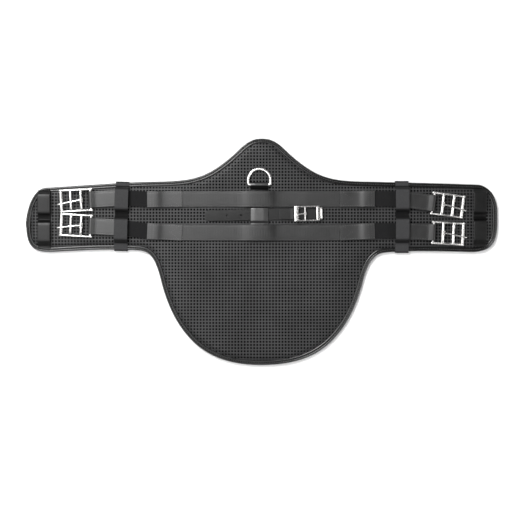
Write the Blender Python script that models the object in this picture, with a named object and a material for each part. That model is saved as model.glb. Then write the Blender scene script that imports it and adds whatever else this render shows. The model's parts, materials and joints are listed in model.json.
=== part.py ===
"""A saddle girth with a belly guard, lying flat with its horse side down.

A padded panel carries two leather straps. Each strap ends in an elastic insert, a leather chape and a
three-bar roller buckle for a 25 mm billet. Elastic keepers cross the arms, and leather keepers stand at
the ends.
The row frame is X along the girth, +Y towards the horse's head, +Z away from the horse, with the
origin under the middle of the panel. Every length below is in millimetres and every angle in degrees.
"""

import math

import bmesh
import bpy
from mathutils import Vector
from mathutils.geometry import interpolate_bezier

MM = 0.001
GAP = 0.3  # left between pieces that touch or run in each other

# The panel: three layers, pinched together at the edge inside a folded binding.
LINING_T = 1.2
PADDING_T = 4.2
OUTER_T = 1.4
PADDING_Z = LINING_T + GAP
OUTER_Z = PADDING_Z + PADDING_T + GAP
PANEL_TOP = OUTER_Z + OUTER_T
EDGE_LINING_Z = 2.8
EDGE_OUTER_Z = EDGE_LINING_Z + LINING_T + GAP
BINDING_T = 1.0
BINDING_W = 7.0
PINCH_W = 8.0  # the flat, pinched rim
SLOPE_W = 14.0  # where the panel reaches its full thickness
PADDING_EDGE = (10.5, 3.3, 4.6)  # inset, and lowest and highest Z of the padding's own edge
PADDING_FULL_W = 14.5
SHARP_ANGLE = 35.0
CURVE_STEPS = 9

# The outline as knots: x, y, heading in degrees, reach of the handle before it, reach after it.
# Each side runs from the front point to the rear one, and both share the middle of the girth.
FRONT_KNOTS = (
    (0.0, 170.0, 0.0, 0.0, 22.0),
    (48.0, 141.0, -40.0, 23.5, 46.5),
    (156.0, 105.5, -1.0, 52.5, 60.5),
)
REAR_KNOTS = (
    (150.5, -45.0, 256.0, 34.0, 11.0),
    (123.0, -110.0, 236.0, 30.0, 48.5),
    (0.0, -169.0, 180.0, 60.0, 0.0),
)
ARM_KNOTS = {
    -1: (
        (323.0, 96.5, -3.0, 60.5, 20.5),
        (353.0, 44.5, -90.0, 16.5, 37.5),
        (311.0, 0.5, 177.0, 32.0, 42.0),
        (184.0, 2.5, 184.0, 41.5, 18.5),
    ),
    1: (
        (323.5, 101.0, -2.0, 54.5, 6.5),
        (352.0, 60.5, -90.0, 32.5, 34.0),
        (308.5, 0.0, 178.0, 46.5, 39.5),
        (182.5, -1.0, 186.0, 33.5, 12.0),
    ),
}

# The two long straps lie either side of HARDWARE_X. The rear one bends a little at its tabs.
HARDWARE_X = -1.5
FRONT_ROW_Y = 79.3
REAR_ROW_Y = 29.0
STRAP_W = 24.5
STRAP_T = 2.0
STRAP_Z = PANEL_TOP + GAP + STRAP_T / 2
TAB_SEAM_X = 118.0
MOUTH_X = 169.5
TAB_T = 1.6
ELASTIC_T = 1.4
ELASTIC_W = 23.0
ELASTIC_Z = PANEL_TOP + 2 * GAP + STRAP_T + ELASTIC_T / 2
ELASTIC_IN_TAB = 14.0

# Each end: side, row, Y of the tab's mouth, Y of the chape's root, and the chape's angle towards the front.
STRAP_ENDS = {
    "left_front": (-1, FRONT_ROW_Y, 78.6, 80.8, -3.0),
    "left_rear": (-1, REAR_ROW_Y, 31.2, 36.2, 3.0),
    "right_front": (1, FRONT_ROW_Y, 79.6, 79.3, -7.5),
    "right_rear": (1, REAR_ROW_Y, 31.6, 32.0, -3.2),
}

# The chape and the roller buckle, along U from the chape's root, with heights above the floor.
ROOT_X = 206.3
CHAPE_T = 1.6
CHAPE_W = 24.5
CHAPE_LAP = 2.5
CHAPE_GRIP = 6.5
CHAPE_LOWER_Z = PANEL_TOP + 0.4 + CHAPE_T / 2
CHAPE_UPPER_Z = ELASTIC_Z + ELASTIC_T / 2 + GAP + CHAPE_T / 2
HINGE_BAR_R = 1.5
HINGE_BAR = (49.4, CHAPE_LOWER_Z + HINGE_BAR_R + GAP + CHAPE_T / 2)
CROSS_BAR_R = 2.0
TONGUE_BAR = (63.5, 12.6)
MIDDLE_BAR = (79.0, 12.8)
ROLLER_AXLE = (93.3, 10.5)
AXLE_R = 1.5
ROLLER_R = 2.65
ROLLER_LENGTH = 27.4
SIDE_BAR_V = 15.6
SIDE_BAR_W = 2.9
SIDE_BAR_H = 3.3
TONGUE_WIRE_R = 1.05
TONGUE_EYE_W = 7.5
TONGUE_EYE_R = 3.4

# Keepers: one elastic band round each arm, and one leather band across each end.
ARM_KEEPER_X = {-1: -211.0, 1: 209.0}
ARM_KEEPER_TURN = {-1: -1.5, 1: 0.0}
ARM_KEEPER_W = 20.0
ARM_KEEPER_T = 1.0
ARM_KEEPER_TOP = 18.9
END_KEEPER_X = 325.0
END_KEEPER_W = 19.0
END_KEEPER_T = 1.5
END_KEEPER_TOP = 14.6

# The centre band holds the dee ring in its front fold and loops over the small strap.
BAND_X = -4.0
BAND_W = 26.0
BAND_T = 1.0
BAND_LOWER_Z = PANEL_TOP + GAP + BAND_T / 2
BAND_UPPER_Z = BAND_LOWER_Z + BAND_T + GAP
BAND_LOOP_Z = 12.3
DEE_WIRE_R = 2.1
DEE_BOW_R = 16.6
DEE_CORNER_R = 3.0
DEE_BOW_Y = 6.8
DEE_BAR_Y = 100.6
DEE_BAR_Z = BAND_LOWER_Z + DEE_WIRE_R + GAP + BAND_T / 2
DEE_SAG = 3.0

# The small strap runs through that loop. U runs along it from the band's middle towards its buckle.
SMALL_Y = 56.0
SMALL_ANGLE = 1.2
SMALL_W = 17.0
SMALL_T = 1.6
SMALL_Z = BAND_LOWER_Z + BAND_T / 2 + GAP + SMALL_T / 2
SMALL_TIP_U = -81.0
SMALL_LAP_U = 30.0
SMALL_HOLES_U = (-48.0, -27.5, -7.0, 13.5)
SMALL_CORNER = (4.5, 0.32)  # length of the cut at the tip's corners, half width left there per strap width
HOLE_R = 1.5
CUT_DEPTH = 3.0
SMALL_ROD_R = 1.25
SMALL_ROD = (55.3, SMALL_Z + SMALL_ROD_R + GAP + SMALL_T / 2)
SMALL_BAR = (68.3, 14.4)
SMALL_BAR_R = 1.1
SMALL_SIDE_V = 10.3
SMALL_SIDE_W = 2.0
SMALL_SIDE_H = 2.8
SMALL_PLATE = (3.0, 4.0, 5.25)  # half length, and lowest and highest Z above the rod
SMALL_CROSS_U = (29.8, 34.2)  # the flat end bar, from the rod
SMALL_CROSS_Z = (-0.5, 1.1)
SMALL_EAR_U = 33.0
SMALL_EAR_W = 1.8
SMALL_ROLLER_AXLE = (92.6, 12.2)
SMALL_ROLLER_R = 2.3
SMALL_ROLLER_LENGTH = 13.4
SMALL_AXLE_R = 1.0
SMALL_EYE_R = 2.5
SMALL_EYE_W = 4.4
SMALL_WIRE_R = 0.9
GUARD_U = (36.0, 88.0)
GUARD_T = 1.0

ROUND_SIDES = 10
WIRE_SIDES = 8
SLEEVE_SIDES = 14


# ---------------------------------------------------------------- materials
def material(name, colour, roughness, metallic=0.0):
    made = bpy.data.materials.new(name)
    made.use_nodes = True
    shader = made.node_tree.nodes["Principled BSDF"]
    shader.inputs["Base Color"].default_value = (*colour, 1.0)
    shader.inputs["Roughness"].default_value = roughness
    shader.inputs["Metallic"].default_value = metallic
    made.diffuse_color = (*colour, 1.0)
    return made


# ---------------------------------------------------------------- shapes
def new_mesh(name, build):
    """A mesh from build(bm), which works in millimetres."""
    bm = bmesh.new()
    build(bm)
    bmesh.ops.recalc_face_normals(bm, faces=bm.faces)
    bmesh.ops.scale(bm, vec=(MM, MM, MM), verts=bm.verts)
    mesh = bpy.data.meshes.new(name)
    bm.to_mesh(mesh)
    bm.free()
    mesh.shade_smooth()
    mesh.set_sharp_from_angle(angle=math.radians(SHARP_ANGLE))
    return mesh


def loft(bm, rings, closed=False):
    """Skins rings of equal length with quads, and caps the two ends unless the loft is closed."""
    loops = [[bm.verts.new(p) for p in ring] for ring in rings]
    count = len(loops[0])
    pairs = list(zip(loops, loops[1:]))
    if closed:
        pairs.append((loops[-1], loops[0]))
    for low, high in pairs:
        for i in range(count):
            j = (i + 1) % count
            bm.faces.new((low[i], low[j], high[j], high[i]))
    if not closed:
        caps = [bm.faces.new(loops[0]), bm.faces.new(loops[-1])]
        bmesh.ops.triangulate(bm, faces=caps)


def sweep(bm, path, section, side, closed=False):
    """Sweeps section, pairs (along side, across), down path. side is roughly square to the whole path."""
    points = [Vector(p) for p in path]
    last = len(points) - 1
    rings = []
    for i, point in enumerate(points):
        before = points[i - 1] if i or closed else point
        after = points[(i + 1) % len(points)] if i < last or closed else point
        into, out = (point - before), (after - point)
        tangent = ((into.normalized() if into.length else out.normalized())
                   + (out.normalized() if out.length else into.normalized())).normalized()
        first = (Vector(side) - tangent * tangent.dot(Vector(side))).normalized()
        second = tangent.cross(first)
        rings.append([point + first * a + second * b for a, b in section])
    loft(bm, rings, closed)


def rectangle(width, thickness):
    half_w, half_t = width / 2, thickness / 2
    return [(-half_w, -half_t), (half_w, -half_t), (half_w, half_t), (-half_w, half_t)]


def circle(radius, sides=ROUND_SIDES):
    return [
        (radius * math.cos(2 * math.pi * k / sides), radius * math.sin(2 * math.pi * k / sides))
        for k in range(sides)
    ]


def rounded_bar(width, height, sides=WIRE_SIDES):
    """A softened rectangle, as a superellipse."""
    power = 0.6

    def softened(value, size):
        return size / 2 * math.copysign(abs(value) ** power, value)

    angles = [2 * math.pi * (k + 0.5) / sides for k in range(sides)]
    return [(softened(math.cos(a), width), softened(math.sin(a), height)) for a in angles]


def strip_mesh(name, path, thickness, width, side=(0, 1, 0)):
    """A flat strip bent along path, which lies square to side."""
    return new_mesh(name, lambda bm: sweep(bm, path, rectangle(width, thickness), side))


def rod(bm, u, z, radius, half_length, sides=ROUND_SIDES):
    """A round bar along Y."""
    sweep(bm, [(u, -half_length, z), (u, half_length, z)], circle(radius, sides), (1, 0, 0))


def block(bm, low, high):
    middle = [(a + b) / 2 for a, b in zip(low, high)]
    sweep(bm, [(low[0], middle[1], middle[2]), (high[0], middle[1], middle[2])],
          rectangle(high[1] - low[1], high[2] - low[2]), (0, 1, 0))


def sleeve(bm, radius, bore, half_length, sides=SLEEVE_SIDES):
    """A tube along Y about the origin."""
    section = [(-half_length, bore), (half_length, bore), (half_length, radius), (-half_length, radius)]
    rings = []
    for k in range(sides):
        angle = 2 * math.pi * k / sides
        rings.append([(r * math.sin(angle), y, r * math.cos(angle)) for y, r in section])
    loft(bm, rings, closed=True)


def fold(centre, radius, start, end, steps=8):
    """Points on an arc about centre in a vertical plane, from angle start to end."""
    angles = [math.radians(start + (end - start) * k / steps) for k in range(steps + 1)]
    return [(centre[0] + radius * math.cos(a), centre[1] + radius * math.sin(a)) for a in angles]


def united(name, builders):
    """One mesh from several overlapping closed shapes, joined by Boolean unions."""
    shapes = [bpy.data.objects.new(f"{name}_shape", new_mesh(name, build)) for build in builders]
    for shape in shapes:
        bpy.context.scene.collection.objects.link(shape)
    base = shapes[0]
    for shape in shapes[1:]:
        join = base.modifiers.new("join", "BOOLEAN")
        join.operation = "UNION"
        join.object = shape
    bpy.context.view_layer.update()
    graph = bpy.context.evaluated_depsgraph_get()
    mesh = bpy.data.meshes.new_from_object(base.evaluated_get(graph))
    mesh.name = name
    for shape in shapes:
        bpy.data.objects.remove(shape)
    mesh.shade_smooth()
    mesh.set_sharp_from_angle(angle=math.radians(SHARP_ANGLE))
    return mesh


def piece(name, mesh, look, parent=None, at=(0, 0, 0), turn=0.0, axis="Z"):
    """An object for one node, placed in millimetres and turned about one axis."""
    obj = bpy.data.objects.new(name, mesh)
    bpy.context.scene.collection.objects.link(obj)
    obj.data.materials.clear()
    obj.data.materials.append(look)
    obj.parent = parent
    obj.location = Vector(at) * MM
    setattr(obj.rotation_euler, axis.lower(), math.radians(turn))
    return obj


def holder(name, at, turn):
    """An empty that sets the place and heading of the pieces on it."""
    empty = bpy.data.objects.new(name, None)
    bpy.context.scene.collection.objects.link(empty)
    empty.location = Vector(at) * MM
    empty.rotation_euler.z = math.radians(turn)
    return empty


# ---------------------------------------------------------------- panel
def side_curve(side):
    """The outline on one side, from the front point to the rear one."""
    curve = []
    knots = [*FRONT_KNOTS, *ARM_KNOTS[side], *REAR_KNOTS]
    for (x, y, heading, _, reach), (end_x, end_y, end_heading, end_reach, _) in zip(knots, knots[1:]):
        start, end = Vector((x, y, 0.0)), Vector((end_x, end_y, 0.0))
        leave = start + heading_vector(heading) * reach
        arrive = end - heading_vector(end_heading) * end_reach
        curve.extend(interpolate_bezier(start, leave, arrive, end, CURVE_STEPS)[:-1])
    curve.append(Vector((knots[-1][0], knots[-1][1], 0.0)))
    return [Vector((side * p.x, p.y, 0.0)) for p in curve]


def heading_vector(degrees):
    return Vector((math.cos(math.radians(degrees)), math.sin(math.radians(degrees)), 0.0))


def outline(inset=0.0):
    """The panel's outline, anticlockwise, moved inwards by inset."""
    loop = side_curve(-1) + side_curve(1)[-2:0:-1]
    moved = []
    for i, point in enumerate(loop):
        along = (loop[(i + 1) % len(loop)] - loop[i - 1]).normalized()
        inward = Vector((-along.y, along.x, 0.0))
        moved.append(point + inward * inset)
    return moved


def edge_y(x, front):
    """Y of the panel's front or rear edge at x, on an arm."""
    loop = outline()
    crossings = []
    for a, b in zip(loop, loop[1:] + loop[:1]):
        if (a.x - x) * (b.x - x) <= 0 and a.x != b.x:
            crossings.append(a.y + (b.y - a.y) * (x - a.x) / (b.x - a.x))
    return max(crossings) if front else min(crossings)


def layer(bm, rings):
    """A closed plate from (inset, z) rings, bottom to top."""
    loft(bm, [[(p.x, p.y, z) for p in outline(inset)] for inset, z in rings])


def plate_mesh(name, low_z, thickness, edge_low_z):
    rim = BINDING_T + GAP
    rings = (
        (SLOPE_W, low_z),
        (PINCH_W, edge_low_z),
        (rim, edge_low_z),
        (rim, edge_low_z + thickness),
        (PINCH_W, edge_low_z + thickness),
        (SLOPE_W, low_z + thickness),
    )
    return new_mesh(name, lambda bm: layer(bm, rings))


def padding_mesh():
    top = PADDING_Z + PADDING_T
    edge, low, high = PADDING_EDGE
    rings = ((PADDING_FULL_W, PADDING_Z), (edge, low), (edge, high), (PADDING_FULL_W, top))
    return new_mesh("padding", lambda bm: layer(bm, rings))


def binding_mesh():
    """A folded strip with a C section all round the panel."""
    low = EDGE_LINING_Z - GAP
    high = EDGE_OUTER_Z + OUTER_T + GAP
    section = (
        (BINDING_W, low - BINDING_T), (BINDING_W, low), (BINDING_T, low),
        (BINDING_T, high), (BINDING_W, high), (BINDING_W, high + BINDING_T),
        (1.3, high + BINDING_T), (0.3, high + 0.2), (0.0, (low + high) / 2),
        (0.3, low - 0.2), (1.3, low - BINDING_T),
    )

    def build(bm):
        rails = [[(p.x, p.y, z) for p in outline(inset)] for inset, z in section]
        loft(bm, [list(ring) for ring in zip(*rails)], closed=True)

    return new_mesh("edge_binding", build)


def make_panel(looks):
    piece("lining", plate_mesh("lining", 0.0, LINING_T, EDGE_LINING_Z), looks["lining"])
    piece("padding", padding_mesh(), looks["foam"])
    piece("outer_panel", plate_mesh("outer_panel", OUTER_Z, OUTER_T, EDGE_OUTER_Z), looks["waffle"])
    piece("edge_binding", binding_mesh(), looks["leather"])


# ---------------------------------------------------------------- straps
def long_strap_mesh(name, row, left_y, right_y):
    """Flat on the panel, with a rise where it crosses the centre band."""
    high = BAND_UPPER_Z + BAND_T / 2 + GAP + STRAP_T / 2
    middle = BAND_X - HARDWARE_X
    half = BAND_W / 2 + 2.5
    run = 7.5
    path = [
        (-MOUTH_X, left_y - row, STRAP_Z),
        (-TAB_SEAM_X, 0, STRAP_Z),
        (middle - half - run, 0, STRAP_Z),
        (middle - half, 0, high),
        (middle + half, 0, high),
        (middle + half + run, 0, STRAP_Z),
        (TAB_SEAM_X, 0, STRAP_Z),
        (MOUTH_X, right_y - row, STRAP_Z),
    ]
    return strip_mesh(name, path, STRAP_T, STRAP_W)


def tab_mesh():
    """A leather tab from its seam on the strap, up over the end of the elastic, to its mouth."""
    low = STRAP_Z + (STRAP_T + TAB_T) / 2 + GAP
    high = ELASTIC_Z + (ELASTIC_T + TAB_T) / 2 + GAP
    length = MOUTH_X - TAB_SEAM_X
    step = length - ELASTIC_IN_TAB
    path = [(0, 0, low), (step - 6.0, 0, low), (step - 1.0, 0, high), (length, 0, high)]
    return strip_mesh("tab", path, TAB_T, STRAP_W)


def chape_mesh():
    """Leather turned back round the buckle's hinge bar, its two layers gripping the elastic."""
    u, z = HINGE_BAR
    radius = HINGE_BAR_R + GAP + CHAPE_T / 2
    path = [
        (-CHAPE_LAP, CHAPE_LOWER_Z),
        *fold((u, z), radius, -90, 100, steps=8),
        (u - 4.5, CHAPE_UPPER_Z + 0.6),
        (u - 8.0, CHAPE_UPPER_Z),
        (-CHAPE_LAP, CHAPE_UPPER_Z),
    ]
    return strip_mesh("chape", [(a, 0, b) for a, b in path], CHAPE_T, CHAPE_W)


def elastic_mesh(length):
    path = [(-ELASTIC_IN_TAB + 1.0, 0, ELASTIC_Z), (length + CHAPE_GRIP, 0, ELASTIC_Z)]
    return strip_mesh("elastic", path, ELASTIC_T, ELASTIC_W)


def frame_mesh():
    """A roller buckle frame about its hinge bar: two bowed side bars and four cross bars."""
    u0, z0 = HINGE_BAR
    reach = SIDE_BAR_V + 0.5
    bow = [
        (-1.9, -0.2), (2.0, 0.1), (8.0, 0.9), (TONGUE_BAR[0] - u0, TONGUE_BAR[1] - z0), (22.0, 1.9),
        (MIDDLE_BAR[0] - u0, MIDDLE_BAR[1] - z0), (37.0, 0.7),
        (ROLLER_AXLE[0] - u0, ROLLER_AXLE[1] - z0), (ROLLER_AXLE[0] - u0 + 2.6, ROLLER_AXLE[1] - z0 - 0.3),
    ]

    def side_bar(v):
        path = [(u, v, z) for u, z in bow]
        return lambda bm: sweep(bm, path, rounded_bar(SIDE_BAR_W, SIDE_BAR_H), (0, 1, 0))

    def cross_bar(place, radius):
        return lambda bm: rod(bm, place[0] - u0, place[1] - z0, radius, reach)

    return united("buckle_frame", [
        side_bar(SIDE_BAR_V),
        side_bar(-SIDE_BAR_V),
        cross_bar(HINGE_BAR, HINGE_BAR_R),
        cross_bar(TONGUE_BAR, CROSS_BAR_R),
        cross_bar(MIDDLE_BAR, CROSS_BAR_R),
        cross_bar(ROLLER_AXLE, AXLE_R),
    ])


def tongue_mesh(skew):
    """A wire tongue on a rolled eye. It passes over the middle bar and rests on the roller."""
    top = CROSS_BAR_R + GAP + TONGUE_WIRE_R + 0.05
    over_middle = MIDDLE_BAR[1] + CROSS_BAR_R + GAP + TONGUE_WIRE_R - TONGUE_BAR[1]
    on_roller = ROLLER_AXLE[1] + ROLLER_R + GAP + TONGUE_WIRE_R - TONGUE_BAR[1]
    middle = MIDDLE_BAR[0] - TONGUE_BAR[0]
    reach = ROLLER_AXLE[0] - TONGUE_BAR[0]
    path = [
        (0.0, 0.0, top), (5.0, 0.4 * skew, top + 0.35), (middle, 1.9 * skew, over_middle + 0.15),
        (reach, 4.2 * skew, on_roller + 0.15), (reach + 5.8, 5.0 * skew, on_roller - 0.8),
    ]
    return united("buckle_tongue", [
        lambda bm: sleeve(bm, TONGUE_EYE_R, CROSS_BAR_R + GAP, TONGUE_EYE_W / 2),
        lambda bm: sweep(bm, path, circle(TONGUE_WIRE_R, WIRE_SIDES), (0, 1, 0)),
    ])


def make_straps(looks):
    for name, row in (("front_strap", FRONT_ROW_Y), ("rear_strap", REAR_ROW_Y)):
        mouths = {side: mouth for side, end_row, mouth, _, _ in STRAP_ENDS.values() if end_row == row}
        mesh = long_strap_mesh(name, row, mouths[-1], mouths[1])
        piece(name, mesh, looks["leather"], at=(HARDWARE_X, row, 0))


def make_strap_ends(looks):
    """Tab, elastic, chape and buckle at each end of both straps."""
    tab, chape, frame = tab_mesh(), chape_mesh(), frame_mesh()
    roller = new_mesh("roller", lambda bm: sleeve(bm, ROLLER_R, AXLE_R + GAP, ROLLER_LENGTH / 2))
    tongues = {side: tongue_mesh(-side) for side in (-1, 1)}
    for name, (side, row, mouth_y, root_y, angle) in STRAP_ENDS.items():
        seam = Vector((HARDWARE_X + side * TAB_SEAM_X, row, 0))
        mouth = Vector((HARDWARE_X + side * MOUTH_X, mouth_y, 0))
        root = Vector((side * ROOT_X, root_y, 0))
        piece(f"{name}_tab", tab, looks["leather"], at=seam, turn=heading(seam, mouth))
        elastic = elastic_mesh((root - mouth).length)
        piece(f"{name}_elastic", elastic, looks["elastic"], at=mouth, turn=heading(mouth, root))
        end = holder(f"{name}_end", root, side * angle + (0.0 if side > 0 else 180.0))
        piece(f"{name}_chape", chape, looks["leather"], end)
        for part, mesh, (u, z) in (
            ("buckle_frame", frame, HINGE_BAR),
            ("buckle_tongue", tongues[side], TONGUE_BAR),
            ("buckle_roller", roller, ROLLER_AXLE),
        ):
            piece(f"{name}_{part}", mesh, looks["nickel"], end, at=(u, 0, z))


def heading(start, end):
    """The angle of the line from start to end, in degrees from +X."""
    return math.degrees(math.atan2(end.y - start.y, end.x - start.x))


# ---------------------------------------------------------------- keepers
def arch(front_foot, front_shoulder, rear_shoulder, rear_foot, foot_z, top_z):
    """(y, z) points of a loop that stands on two feet, from front to rear."""
    rise = top_z - foot_z
    return [
        (front_foot, foot_z),
        (front_shoulder + 0.8, foot_z + 0.45 * rise),
        (front_shoulder, foot_z + 0.75 * rise),
        (front_shoulder - 2.5, top_z - 0.07 * rise),
        (front_shoulder - 6.0, top_z),
        (rear_shoulder + 6.0, top_z),
        (rear_shoulder + 2.5, top_z - 0.07 * rise),
        (rear_shoulder, foot_z + 0.75 * rise),
        (rear_shoulder - 0.8, foot_z + 0.45 * rise),
        (rear_foot, foot_z),
    ]


def arm_keeper_mesh(side):
    """An elastic band that wraps both edges of the arm and loops over both strap ends."""
    front = edge_y(ARM_KEEPER_X[side], True)
    rear = edge_y(ARM_KEEPER_X[side], False)
    foot = PANEL_TOP + GAP + ARM_KEEPER_T / 2
    tucked = ARM_KEEPER_T / 2 + 0.1

    def wrap(edge, out):
        return [
            (edge - out * 7.0, tucked), (edge - out * 0.6, tucked), (edge + out * 1.4, 2.4),
            (edge + out * 1.7, 5.2), (edge + out * 0.6, 7.6), (edge - out * 1.6, foot - 0.1),
        ]

    path = (
        wrap(front, 1)
        + arch(98.4, 95.3, 62.6, 58.2, foot, ARM_KEEPER_TOP)
        + arch(54.0, 50.6, 17.4, 13.6, foot, ARM_KEEPER_TOP)
        + wrap(rear, -1)[::-1]
    )
    return strip_mesh("arm_keeper", [(0, y, z) for y, z in path], ARM_KEEPER_T, ARM_KEEPER_W, (1, 0, 0))


def end_keeper_mesh():
    """A leather band with two loops for the free ends of the billets."""
    foot = PANEL_TOP + GAP + END_KEEPER_T / 2
    path = (
        arch(93.0, 88.5, 58.0, 52.0, foot, END_KEEPER_TOP)
        + arch(48.5, 45.5, 15.5, 10.0, foot, END_KEEPER_TOP)
        + [(7.5, foot)]
    )
    return strip_mesh("end_keeper", [(0, y, z) for y, z in path], END_KEEPER_T, END_KEEPER_W, (1, 0, 0))


def make_keepers(looks):
    end = end_keeper_mesh()
    for name, side in (("left", -1), ("right", 1)):
        arm = arm_keeper_mesh(side)
        piece(f"{name}_arm_keeper", arm, looks["elastic"], at=(ARM_KEEPER_X[side], 0, 0),
              turn=ARM_KEEPER_TURN[side])
        piece(f"{name}_end_keeper", end, looks["leather"], at=(side * END_KEEPER_X, side, 0))


# ---------------------------------------------------------------- centre band and dee ring
def centre_band_mesh():
    """One strip: under both straps, round the dee's bar, back again, and over the small strap."""
    radius = DEE_WIRE_R + GAP + BAND_T / 2
    path = [
        (21.0, BAND_LOWER_Z),
        (DEE_BAR_Y - 4.0, BAND_LOWER_Z),
        *fold((DEE_BAR_Y, DEE_BAR_Z), radius, -90, 105, steps=8),
        (DEE_BAR_Y - 3.8, DEE_BAR_Z + 1.2),
        (DEE_BAR_Y - 6.0, BAND_UPPER_Z + 0.4),
        (DEE_BAR_Y - 7.4, BAND_UPPER_Z),
        (67.6, BAND_UPPER_Z),
        (66.5, BAND_UPPER_Z + 0.5),
        (66.1, BAND_LOOP_Z - 0.7),
        (65.0, BAND_LOOP_Z),
        (48.5, BAND_LOOP_Z),
        (46.2, BAND_LOOP_Z - 0.5),
        (44.4, BAND_UPPER_Z + 0.6),
        (43.0, BAND_UPPER_Z),
        (21.0, BAND_UPPER_Z),
    ]
    return strip_mesh("centre_band", [(0, y, z) for y, z in path], BAND_T, BAND_W, (1, 0, 0))


def dee_ring_mesh():
    """A wire dee: its straight bar lies along X through the origin, and its bow points along +Y."""
    inner = DEE_BOW_R - DEE_CORNER_R
    corner = [
        (inner + DEE_CORNER_R * math.sin(a), DEE_CORNER_R * (1 - math.cos(a)), 0)
        for a in (math.radians(30 * k) for k in range(4))
    ]
    steps = 16
    bow = [
        (DEE_BOW_R * math.cos(math.pi * k / steps), DEE_BOW_Y + DEE_BOW_R * math.sin(math.pi * k / steps), 0)
        for k in range(steps + 1)
    ]
    path = corner + bow + [(-x, y, z) for x, y, z in reversed(corner)]
    return new_mesh(
        "dee_ring", lambda bm: sweep(bm, path, circle(DEE_WIRE_R, WIRE_SIDES), (0, 0, 1), closed=True)
    )


def make_centre_band(looks):
    piece("centre_band", centre_band_mesh(), looks["leather"], at=(BAND_X, 0, 0))
    bar = (BAND_X, DEE_BAR_Y, DEE_BAR_Z)
    piece("dee_ring", dee_ring_mesh(), looks["nickel"], at=bar, turn=-DEE_SAG, axis="X")


# ---------------------------------------------------------------- small strap and buckle
def small_strap_mesh():
    """A punched strap with a pointed tip, its other end turned over the small buckle's rod."""
    u, z = SMALL_ROD
    radius = SMALL_ROD_R + GAP + SMALL_T / 2
    upper = SMALL_Z + SMALL_T + GAP
    path = [
        (SMALL_TIP_U, SMALL_Z),
        *fold((u, z), radius, -90, 100, steps=8),
        (u - 2.6, z + 1.5),
        (u - 5.2, upper + 0.6),
        (u - 8.0, upper),
        (SMALL_LAP_U, upper),
    ]
    whole = strip_mesh("small_strap", [(a, 0, b) for a, b in path], SMALL_T, SMALL_W)
    cutters = [lambda bm, at=at: hole_cutter(bm, at) for at in SMALL_HOLES_U]
    cutters += [lambda bm, side=side: corner_cutter(bm, side) for side in (-1, 1)]
    return cut_from(whole, cutters)


def cut_from(whole, cutters):
    """The mesh left after Boolean differences."""
    base = bpy.data.objects.new("base", whole)
    tools = [bpy.data.objects.new("cutter", new_mesh("cutter", build)) for build in cutters]
    for obj in (base, *tools):
        bpy.context.scene.collection.objects.link(obj)
    for tool in tools:
        cut = base.modifiers.new("cut", "BOOLEAN")
        cut.operation = "DIFFERENCE"
        cut.object = tool
    bpy.context.view_layer.update()
    graph = bpy.context.evaluated_depsgraph_get()
    mesh = bpy.data.meshes.new_from_object(base.evaluated_get(graph))
    for obj in (base, *tools):
        bpy.data.objects.remove(obj)
    mesh.set_sharp_from_angle(angle=math.radians(SHARP_ANGLE))
    return mesh


def hole_cutter(bm, at):
    """A drill that stops inside the gap over the lower layer, so that the turned-back layer stays whole."""
    drill = [(at, 0, SMALL_Z - CUT_DEPTH), (at, 0, SMALL_Z + SMALL_T / 2 + 0.25)]
    sweep(bm, drill, circle(HOLE_R), (1, 0, 0))


def corner_cutter(bm, side):
    """A wedge that takes one corner off the strap's tip."""
    length, left = SMALL_CORNER
    outside = side * (SMALL_W / 2 + 0.6)
    corner = [
        (SMALL_TIP_U - 2, side * SMALL_W * left),
        (SMALL_TIP_U + length, outside),
        (SMALL_TIP_U - 2, outside),
    ]
    loft(bm, [[(u, v, SMALL_Z + z) for u, v in corner] for z in (-CUT_DEPTH, CUT_DEPTH)])


def small_frame_mesh():
    """A small buckle frame about its rod: a plate over it, a tongue bar, and a roller axle on two ears."""
    u0, z0 = SMALL_ROD
    side = [(0.4, 3.4), (6.0, 3.0), (SMALL_BAR[0] - u0, SMALL_BAR[1] - z0), (23.0, 1.2), (33.5, 0.5)]

    wide = SMALL_SIDE_V + 0.9
    half_plate, plate_low, plate_high = SMALL_PLATE
    axle_u, axle_z = SMALL_ROLLER_AXLE[0] - u0, SMALL_ROLLER_AXLE[1] - z0

    def side_bar(v):
        path = [(u, v, z) for u, z in side]
        return lambda bm: sweep(bm, path, rounded_bar(SMALL_SIDE_W, SMALL_SIDE_H), (0, 1, 0))

    def cheek(v):
        return lambda bm: block(bm, (-1.6, v - 1.0, -1.5), (1.8, v + 1.0, 4.9))

    def ear(v):
        low = (SMALL_EAR_U, v - SMALL_EAR_W / 2, -1.3)
        high = (axle_u + 1.3, v + SMALL_EAR_W / 2, 1.3)
        return lambda bm: block(bm, low, high)

    def plate(bm):
        block(bm, (-half_plate, -wide, plate_low), (half_plate, wide, plate_high))

    def cross_bar(bm):
        low = (SMALL_CROSS_U[0], -wide - 0.03, SMALL_CROSS_Z[0])
        high = (SMALL_CROSS_U[1], wide + 0.03, SMALL_CROSS_Z[1])
        block(bm, low, high)

    return united("small_buckle_frame", [
        side_bar(SMALL_SIDE_V),
        side_bar(-SMALL_SIDE_V),
        cheek(SMALL_SIDE_V),
        cheek(-SMALL_SIDE_V),
        plate,
        lambda bm: rod(bm, 0, 0, SMALL_ROD_R, SMALL_SIDE_V),
        lambda bm: rod(bm, SMALL_BAR[0] - u0, SMALL_BAR[1] - z0, SMALL_BAR_R, SMALL_SIDE_V),
        cross_bar,
        ear(SMALL_ROLLER_LENGTH / 2 + 1.2),
        ear(-SMALL_ROLLER_LENGTH / 2 - 1.2),
        lambda bm: rod(bm, axle_u, axle_z, SMALL_AXLE_R, SMALL_ROLLER_LENGTH / 2 + 1.7),
    ])


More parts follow.
